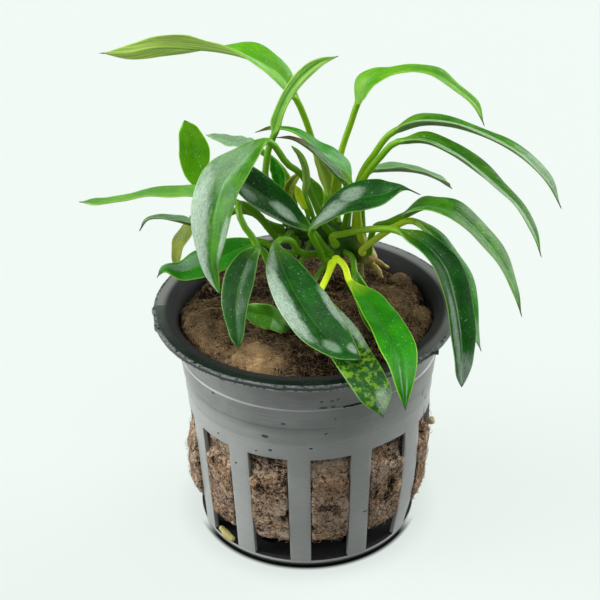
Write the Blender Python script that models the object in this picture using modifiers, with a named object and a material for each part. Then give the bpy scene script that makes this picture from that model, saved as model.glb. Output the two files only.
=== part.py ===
"""Small anubias water plant growing in a plug of mineral wool, in its slotted basket pot.

All sizes below are in millimetres and are turned to metres where a mesh is made.
The pot stands on z = 0 with the centre of its floor at the origin. Z is up, X is to
the right and -Y is the front, where most of the leaves hang over the rim.
"""

import math

import bpy
import bmesh
from mathutils import Matrix, Vector

MM = 0.001
GAP = 0.3                 # left between pieces that touch

# The basket pot
POT_HEIGHT = 45.2
RIM_RADIUS = 27.9
RIM_THICKNESS = 1.0
MOUTH_RADIUS = 23.7
WALL = 0.9
FLOOR = 1.2
BASE_RADIUS = 20.7
SLOT_TOP = 25.9
SLOT_BOTTOM = 1.7
SLOT_TOP_RADIUS = 22.35   # outside of the wall where the slots begin
RIBS = 12
RIB_WIDTH = 4.0
RIB_TURN = -4.0           # degrees that one rib stands away from the front
SLOT_BAND = (15.0, 26.0)  # inner and outer radius of the ring that cuts the slots
DRAIN_SLOTS = 6
DRAIN_LENGTH = 9.0
DRAIN_WIDTH = 2.4
DRAIN_RADIUS = 11.5
POT_STEPS = 48
# Radius and height down the outside of the cup: the flange's foot, a ledge, a step and a faint line
CUP_OUTSIDE = [(24.6, 44.0), (23.2, 37.5), (23.5, 37.2), (23.0, 33.0), (22.7, 32.8), (22.6, 29.5)]
CUP_INSIDE = [(22.3, 36.8), (MOUTH_RADIUS, 43.4)]
# Height, and how far the packed wool has pushed out the right-hand side of the cup there
BOW = [(1.7, 0.0), (9.0, 1.6), (20.0, 1.6), (25.9, 1.1), (36.8, 1.0), (43.4, 0.0)]
BOW_START, BOW_END = 12.0, 21.5   # where along X the push begins and where it is full

# The plug of wool
WOOL_BOTTOM = 5.5
WOOL_EDGE = 44.2          # height of the wool at the wall
WOOL_CROWN = 45.6         # height of the wool in the middle
WOOL_BULGE = 0.6          # how far it swells out past the wall between the ribs
LEFT_BULGE = 1.0          # how much further it swells out of the slot at the left
# Height and distance out from the wall's outside, down the part of the wool that shows in the slots
WOOL_SIDE = [(24.8, -1.1), (21.8, -0.9), (19.6, WOOL_BULGE), (15.0, WOOL_BULGE * 0.7), (9.5, WOOL_BULGE),
             (6.6, 0.0)]
# Radius and height from the middle of the top to its edge, and down to where the slots begin
WOOL_TOP = [(0.0, WOOL_CROWN), (6.0, 45.4), (12.0, 45.0), (17.0, 44.6), (21.2, 44.0), (22.8, 43.1)]
WOOL_NECK = [(22.7, 41.5), (21.6, 36.8)]

# The rhizome, with the radius at each point of its main stem and of its front branch
RHIZOME = [((12.5, 8.0, 48.6), 1.5), ((10.4, 10.2, 51.4), 2.3), ((5.5, 12.0, 53.4), 2.4),
           ((1.0, 12.0, 54.0), 2.2), ((-3.5, 11.8, 54.2), 1.5)]
FRONT_BRANCH = [((7.4, 11.5, 52.6), 1.9), ((6.2, 9.6, 51.2), 1.8), ((5.4, 7.6, 50.2), 1.3)]
ROOTS = [[(12.2, 8.4, 49.0), (13.6, 7.4, 48.0), (14.6, 6.2, 46.6)],
         [(11.6, 8.6, 49.6), (13.6, 9.4, 48.6), (16.0, 9.6, 46.9)],
         [(11.4, 9.0, 49.8), (10.6, 7.0, 48.4), (11.0, 5.6, 46.9)],
         [(0.0, 12.0, 53.2), (-0.5, 13.0, 50.0), (-1.4, 13.6, 46.8)]]
ROOT_RADIUS = 0.55

# Leaf surfaces
STALK_RADIUS = 0.68
EDGE_THICKNESS = 0.34
FLAT_TWIST = 14.0         # past this twist, in degrees, both sides are split along the same diagonal
MIDRIB_TOP = 0.22
MIDRIB_KEEL = 0.42
DRIP_TIP = 0.04           # share of the blade that is only a thread
BLADE_STATIONS = (0.0, 0.05, 0.14, 0.27, 0.41, 0.55, 0.69, 0.82, 0.92, 1.0)
SHORT_BLADE = 10.0        # a shorter blade takes every third station

COLOURS = {               # colour, roughness
    "pot_plastic": ((0.075, 0.080, 0.080), 0.38),
    "mineral_wool": ((0.200, 0.125, 0.075), 0.95),
    "rhizome_skin": ((0.200, 0.190, 0.050), 0.60),
    "leaf_dark": ((0.020, 0.115, 0.025), 0.28),
    "leaf_bright": ((0.060, 0.240, 0.020), 0.35),
    "leaf_young": ((0.230, 0.330, 0.030), 0.45),
    "leaf_yellow": ((0.330, 0.300, 0.030), 0.55),
    "root_skin": ((0.480, 0.430, 0.150), 0.60),
}


def clear_scene():
    for old in list(bpy.data.objects):
        bpy.data.objects.remove(old, do_unlink=True)


def new_collection(name):
    group = bpy.data.collections.new(name)
    bpy.context.scene.collection.children.link(group)
    return group


def make_material(name):
    colour, roughness = COLOURS[name]
    material = bpy.data.materials.new(name)
    material.use_nodes = True
    shader = material.node_tree.nodes["Principled BSDF"]
    shader.inputs["Base Color"].default_value = (*colour, 1.0)
    shader.inputs["Roughness"].default_value = roughness
    shader.inputs["Metallic"].default_value = 0.0
    return material


def add_object(name, mesh, group, material=None):
    piece = bpy.data.objects.new(name, mesh)
    group.objects.link(piece)
    if material is not None:
        mesh.materials.append(material)
    return piece


def hide_cutter(cutter):
    cutter.hide_render = True
    cutter.display_type = "WIRE"


def metres(points):
    return [Vector(point) * MM for point in points]


def turned_profile(name, profile, group, steps=POT_STEPS):
    """A closed outline of (radius, height) turned once round the Z axis."""
    mesh = bpy.data.meshes.new(name)
    corners = [(radius * MM, 0.0, height * MM) for radius, height in profile]
    count = len(corners)
    mesh.from_pydata(corners, [(i, (i + 1) % count) for i in range(count)], [])
    piece = add_object(name, mesh, group)
    screw = piece.modifiers.new("turn", "SCREW")
    screw.steps = steps
    screw.render_steps = steps
    screw.use_merge_vertices = True
    screw.merge_threshold = 0.00001
    return piece


def cut(piece, cutter, operation="DIFFERENCE"):
    boolean = piece.modifiers.new(cutter.name, "BOOLEAN")
    boolean.object = cutter
    boolean.operation = operation
    boolean.solver = "EXACT"


def evaluated_mesh(piece, name):
    """The piece's mesh with its modifiers or its curve turned to plain faces."""
    graph = bpy.context.evaluated_depsgraph_get()
    mesh = bpy.data.meshes.new_from_object(piece.evaluated_get(graph))
    mesh.name = name
    shape = bmesh.new()
    shape.from_mesh(mesh)
    bmesh.ops.remove_doubles(shape, verts=shape.verts, dist=0.000005)
    shape.to_mesh(mesh)
    shape.free()
    return mesh


def box(name, size, centre, group, turn=0.0, tilt=0.0):
    """A box with its size and centre in millimetres, tilted about Y, then turned about Z."""
    mesh = bpy.data.meshes.new(name)
    shape = bmesh.new()
    bmesh.ops.create_cube(shape, size=1.0)
    place = (Matrix.Rotation(math.radians(turn), 4, "Z") @ Matrix.Translation(Vector(centre) * MM)
             @ Matrix.Rotation(math.radians(tilt), 4, "Y") @ Matrix.Diagonal((*(Vector(size) * MM), 1.0)))
    bmesh.ops.transform(shape, matrix=place, verts=shape.verts)
    shape.to_mesh(mesh)
    shape.free()
    return add_object(name, mesh, group)


def join_meshes(name, pieces, group):
    """One object from several separate bodies, for use as one cutter."""
    shape = bmesh.new()
    for piece in pieces:
        shape.from_mesh(piece.data)
        bpy.data.objects.remove(piece, do_unlink=True)
    mesh = bpy.data.meshes.new(name)
    shape.to_mesh(mesh)
    shape.free()
    return add_object(name, mesh, group)


def rib_angles():
    """Turn about Z of each rib, measured from +X."""
    return [RIB_TURN - 90.0 + index * 360.0 / RIBS for index in range(RIBS)]


def outer_wall(height):
    """Outside radius of the slotted part of the wall at a height."""
    share = height / SLOT_TOP
    return BASE_RADIUS + (SLOT_TOP_RADIUS - BASE_RADIUS) * share


def push(x, z):
    """How far a place on the cup or its wool is pushed out to the right."""
    share = min(1.0, max(0.0, (x - BOW_START) / (BOW_END - BOW_START)))
    share = share * share * (3.0 - 2.0 * share)
    for (low, low_out), (high, high_out) in zip(BOW, BOW[1:]):
        if low < z <= high:
            return share * (low_out + (high_out - low_out) * (z - low) / (high - low))
    return 0.0


def pushed_out(piece, group):
    """The piece with its cuts turned to plain faces and its right-hand side pushed out."""
    name = piece.name
    mesh = evaluated_mesh(piece, name)
    bpy.data.objects.remove(piece, do_unlink=True)
    shape = bmesh.new()
    shape.from_mesh(mesh)
    for height in (BOW[1][0], BOW[2][0]):
        right = [face for face in shape.faces if face.calc_center_median().x > 0.6 * BOW_START * MM]
        edges = {edge for face in right for edge in face.edges}
        verts = {vert for face in right for vert in face.verts}
        bmesh.ops.bisect_plane(shape, geom=right + list(edges) + list(verts), dist=0.000002,
                               plane_co=(0.0, 0.0, height * MM), plane_no=(0.0, 0.0, 1.0))
    for vert in shape.verts:
        vert.co.x += push(vert.co.x / MM, vert.co.z / MM) * MM
    shape.to_mesh(mesh)
    shape.free()
    return add_object(name, mesh, group)


def make_pot(group, cutters):
    outside = [(RIM_RADIUS, POT_HEIGHT), (RIM_RADIUS, POT_HEIGHT - RIM_THICKNESS)] + CUP_OUTSIDE
    outside += [(SLOT_TOP_RADIUS, SLOT_TOP), (BASE_RADIUS, 0.0)]
    inside = [(0.0, 0.0), (0.0, FLOOR), (outer_wall(FLOOR) - WALL, FLOOR), (SLOT_TOP_RADIUS - WALL, SLOT_TOP)]
    inside += CUP_INSIDE + [(MOUTH_RADIUS + 0.3, POT_HEIGHT)]
    pot = turned_profile("basket_pot", outside + inside, group)

    inner, outer = SLOT_BAND
    band = turned_profile("slot_band", [(outer, SLOT_TOP), (outer, SLOT_BOTTOM), (inner, SLOT_BOTTOM),
                                        (inner, SLOT_TOP)], cutters)
    bar_size = (2.0 * (outer - inner), RIB_WIDTH, 2.0 * SLOT_TOP)
    bars = [box("bar", bar_size, (outer - 3.0, 0.0, SLOT_TOP / 2.0), cutters, turn) for turn in rib_angles()]
    ribs = join_meshes("rib_bars", bars, cutters)
    cut(band, ribs)
    cut(pot, band)

    drain_size = (DRAIN_LENGTH, DRAIN_WIDTH, 4.0 * FLOOR)
    drains = [box("drain", drain_size, (DRAIN_RADIUS, 0.0, 0.0), cutters, turn * 360.0 / DRAIN_SLOTS)
              for turn in range(DRAIN_SLOTS)]
    drain_cutter = join_meshes("drain_cutter", drains, cutters)
    cut(pot, drain_cutter)
    for cutter in (band, ribs, drain_cutter):
        hide_cutter(cutter)
    return pushed_out(pot, group)


def wool_surface(x, y):
    """Height of the top of the wool: a low mound with broad lumps, lower at the wall."""
    reach = math.hypot(x, y) / MOUTH_RADIUS
    mound = WOOL_EDGE + (WOOL_CROWN - WOOL_EDGE) * (1.0 - reach ** 2)
    lumps = 0.35 * math.sin(0.42 * x + 0.8) * math.cos(0.36 * y - 0.5)
    return mound + lumps


def make_wool(group, cutters):
    inside = WALL + GAP + 0.05
    side = WOOL_NECK + [(SLOT_TOP_RADIUS - inside, SLOT_TOP + 0.2)]
    side.append((SLOT_TOP_RADIUS - inside, SLOT_TOP - GAP - 0.1))
    side += [(outer_wall(height) + out, height) for height, out in WOOL_SIDE]
    side.append((outer_wall(WOOL_BOTTOM) - inside - 0.6, WOOL_BOTTOM))
    plug = turned_profile("wool_blank", side + [(0.0, WOOL_BOTTOM)] + WOOL_TOP, cutters)
    mesh = evaluated_mesh(plug, "wool_plug")
    bpy.data.objects.remove(plug, do_unlink=True)
    for vert in mesh.vertices:
        x, y, z = vert.co / MM
        if z > 42.5:
            vert.co.z = (wool_surface(x, y) - (0.0 if z > 43.5 else 1.2)) * MM
        elif 8.0 < z < 18.0 and x < -20.0 and -8.0 < y < 0.0:
            vert.co.x -= LEFT_BULGE * MM
    wool = add_object("wool_plug", mesh, group)

    lean = math.degrees(math.atan((SLOT_TOP_RADIUS - BASE_RADIUS) / SLOT_TOP))
    middle = SLOT_TOP / 2.0
    face = outer_wall(middle) - WALL - GAP - 0.15
    bars = [box("groove", (8.0, RIB_WIDTH + 2.0 * GAP, 40.0), (face + 4.0, 0.0, middle), cutters, turn, lean)
            for turn in rib_angles()]
    grooves = join_meshes("wool_grooves", bars, cutters)
    cut(wool, grooves)
    hide_cutter(grooves)
    return pushed_out(wool, group)


def tube(name, points, radii, group, resolution=1):
    """A round rod through the points as a closed mesh."""
    curve = bpy.data.curves.new(name, "CURVE")
    curve.dimensions = "3D"
    curve.bevel_depth = MM
    curve.bevel_resolution = resolution
    curve.use_fill_caps = True
    spline = curve.splines.new("POLY")
    spline.points.add(len(points) - 1)
    for knot, place, radius in zip(spline.points, metres(points), radii):
        knot.co = (*place, 1.0)
        knot.radius = radius
    rod = add_object(name, curve, group)
    mesh = evaluated_mesh(rod, name)
    bpy.data.objects.remove(rod, do_unlink=True)
    return add_object(name, mesh, group)


def smooth_point(points, t):
    """Catmull-Rom curve through the points; t runs from 0 to the last point's index."""
    last = len(points) - 1
    index = min(int(t), last - 1)
    share = t - index
    p1, p2 = points[index], points[index + 1]
    p0 = points[index - 1] if index > 0 else p1 * 2.0 - p2
    p3 = points[index + 2] if index + 2 <= last else p2 * 2.0 - p1
    slope1 = (p2 - p0) * 0.5
    slope2 = (p3 - p1) * 0.5
    a, b = share * share, share * share * share
    return p1 * (2 * b - 3 * a + 1) + slope1 * (b - 2 * a + share) + p2 * (3 * a - 2 * b) + slope2 * (b - a)


def walk(points, start, end, shares, fine=60):
    """Places on the smooth curve between two of its knots, at the given shares of the way."""
    track = [smooth_point(points, start + (end - start) * step / fine) for step in range(fine + 1)]
    travelled = [0.0]
    for before, after in zip(track, track[1:]):
        travelled.append(travelled[-1] + (after - before).length)
    places = []
    for share in shares:
        goal = share * travelled[-1]
        step = max(index for index in range(fine) if travelled[index] <= goal + 1e-9)
        span = travelled[step + 1] - travelled[step]
        places.append(track[step].lerp(track[step + 1], min(1.0, (goal - travelled[step]) / span)))
    return places, travelled[-1]


def rod_point(rod, share):
    """Axis point and radius at a share of the way along a rhizome stem."""
    t = share * (len(rod) - 1)
    index = min(int(t), len(rod) - 2)
    here, there = rod[index], rod[index + 1]
    blend = t - index
    radius = here[1] + (there[1] - here[1]) * blend
    return Vector(here[0]).lerp(Vector(there[0]), blend), radius


def clear_of_stem(place, rods):
    """Distance from a place to the surface of the nearest rhizome stem."""
    best = 1000.0
    for rod in rods:
        for (start, radius1), (end, radius2) in zip(rod, rod[1:]):
            start, end = Vector(start), Vector(end)
            along = end - start
            share = max(0.0, min(1.0, (place - start).dot(along) / along.length_squared))
            radius = radius1 + (radius2 - radius1) * share
            best = min(best, (place - start - along * share).length - radius)
    return best


def stalk_root(rod, share, towards):
    """Where a stalk that heads for a point leaves the skin of the rhizome."""
    place, _ = rod_point(rod, share)
    heading = (Vector(towards) - place).normalized()
    while clear_of_stem(place, (RHIZOME, FRONT_BRANCH)) < GAP + 0.35:
        place = place + heading * 0.05
    return place


def half_width(share, width, widest, ends, outline, drip):
    """Half the width of a blade at a share of its length, from its outline or as a plain lance."""
    stretched = share / (1.0 - drip)
    if stretched >= 1.0:
        return 0.0
    if outline:
        knots = (0.0, *outline, 0.0)
        return max(0.0, smooth_point(knots, stretched * (len(knots) - 1)))
    power = math.log(0.5) / math.log(widest)
    return 0.5 * width * math.sin(math.pi * stretched ** power) ** ends


def leaf_ring(centre, side, normal, core, half, fold):
    """Six corners across a leaf: a round stalk where half is 0, a folded blade where it is wide."""
    lift = half * math.tan(math.radians(fold))
    flat = min(1.0, half / 1.5)
    edge = core * 0.5 * (1.0 - flat) + EDGE_THICKNESS * 0.5 * flat
    top = core * (1.0 - flat) + MIDRIB_TOP * flat
    keel = core * (1.0 - flat) + MIDRIB_KEEL * flat
    reach = core * 0.87 * (1.0 - flat) + half
    corners = [(-reach, lift + edge), (0.0, top), (reach, lift + edge),
               (reach, lift - edge), (0.0, -keel), (-reach, lift - edge)]
    return [centre + side * across + normal * up for across, up in corners]


def leaf_frames(places, base, roll):
    """Sideways and upward directions at each place, carried along from the blade's base."""
    count = len(places)
    tangents = []
    for index in range(count):
        before = places[max(index - 1, 0)]
        after = places[min(index + 1, count - 1)]
        tangents.append((after - before).normalized())
    lean = places[-1] - places[base]
    across = lean.cross(Vector((0.0, 0.0, 1.0)))
    sides = [None] * count
    side = across - tangents[base] * across.dot(tangents[base])
    sides[base] = side.normalized()
    for index in range(base + 1, count):
        turn = tangents[index - 1].rotation_difference(tangents[index])
        sides[index] = (turn @ sides[index - 1]).normalized()
    for index in range(base - 1, -1, -1):
        turn = tangents[index + 1].rotation_difference(tangents[index])
        sides[index] = (turn @ sides[index + 1]).normalized()
    frames = []
    for index in range(count):
        place = max(0.0, (index - base) / (count - 1 - base)) * (len(roll) - 1)
        knot = min(int(place), len(roll) - 2)
        angle = math.radians(roll[knot] + (roll[knot + 1] - roll[knot]) * (place - knot))
        side = Matrix.Rotation(angle, 3, tangents[index]) @ sides[index]
        frames.append((side, side.cross(tangents[index])))
    return frames


def make_leaf(name, group, material, at, stalk, blade, width, roll=(0, 0), fold=14, widest=0.42,
              ends=0.85, stem="main", thick=1.0, outline=(), drip=DRIP_TIP):
    """One leaf with its stalk: a loft along a smooth line from the rhizome to the tip."""
    rod = RHIZOME if stem == "main" else FRONT_BRANCH
    knots = [stalk_root(rod, at, stalk[0])] + [Vector(point) for point in stalk + blade]
    base_knot = len(stalk) + 1
    _, stalk_length = walk(knots, 0, base_knot, (0.0,))
    stalk_rings = max(2, round(stalk_length / 4.5))
    stalk_places, _ = walk(knots, 0, base_knot, [step / stalk_rings for step in range(stalk_rings)])
    _, blade_length = walk(knots, base_knot, len(knots) - 1, (0.0,))
    stations = BLADE_STATIONS if blade_length > SHORT_BLADE else BLADE_STATIONS[::3]
    blade_places, _ = walk(knots, base_knot, len(knots) - 1, stations)
    places = stalk_places + blade_places
    frames = leaf_frames(places, stalk_rings, roll)

    shape = bmesh.new()
    rings = []
    for index, (place, (side, normal)) in enumerate(zip(places, frames)):
        if index <= stalk_rings:
            core, half = STALK_RADIUS * thick, 0.0
        else:
            share = stations[index - stalk_rings]
            core = STALK_RADIUS * thick * (1.0 - 0.85 * share)
            half = half_width(share, width, widest, ends, outline, drip)
        corners = leaf_ring(place, side, normal, core, half, fold)
        rings.append([shape.verts.new(corner * MM) for corner in corners])
    for index, (lower, upper) in enumerate(zip(rings, rings[1:])):
        twisted = frames[index][0].angle(frames[index + 1][0]) > math.radians(FLAT_TWIST)
        for corner in range(6):
            following = (corner + 1) % 6
            first, second, third, fourth = lower[corner], lower[following], upper[following], upper[corner]
            if not twisted:
                shape.faces.new((first, second, third, fourth))
            elif corner < 3:
                shape.faces.new((first, second, third))
                shape.faces.new((first, third, fourth))
            else:
                shape.faces.new((first, second, fourth))
                shape.faces.new((second, third, fourth))
    shape.faces.new(list(reversed(rings[0])))
    shape.faces.new(rings[-1])
    bmesh.ops.recalc_face_normals(shape, faces=shape.faces)
    mesh = bpy.data.meshes.new(name)
    shape.to_mesh(mesh)
    shape.free()
    mesh.shade_smooth()
    return add_object(name, mesh, group, material)


def make_rhizome(group, cutters):
    """The creeping stem, its front branch and the roots that reach down to the wool, as one piece."""
    stem = tube("rhizome", [place for place, _ in RHIZOME], [radius for _, radius in RHIZOME], group, 2)
    branches = [tube("branch", [place for place, _ in FRONT_BRANCH], [radius for _, radius in FRONT_BRANCH],
                     cutters, 2)]
    for root in ROOTS:
        branches.append(tube("root", root, [ROOT_RADIUS, ROOT_RADIUS * 0.9, ROOT_RADIUS * 0.6], cutters))
    for branch in branches:
        cut(stem, branch, "UNION")
        hide_cutter(branch)
    return stem


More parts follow.
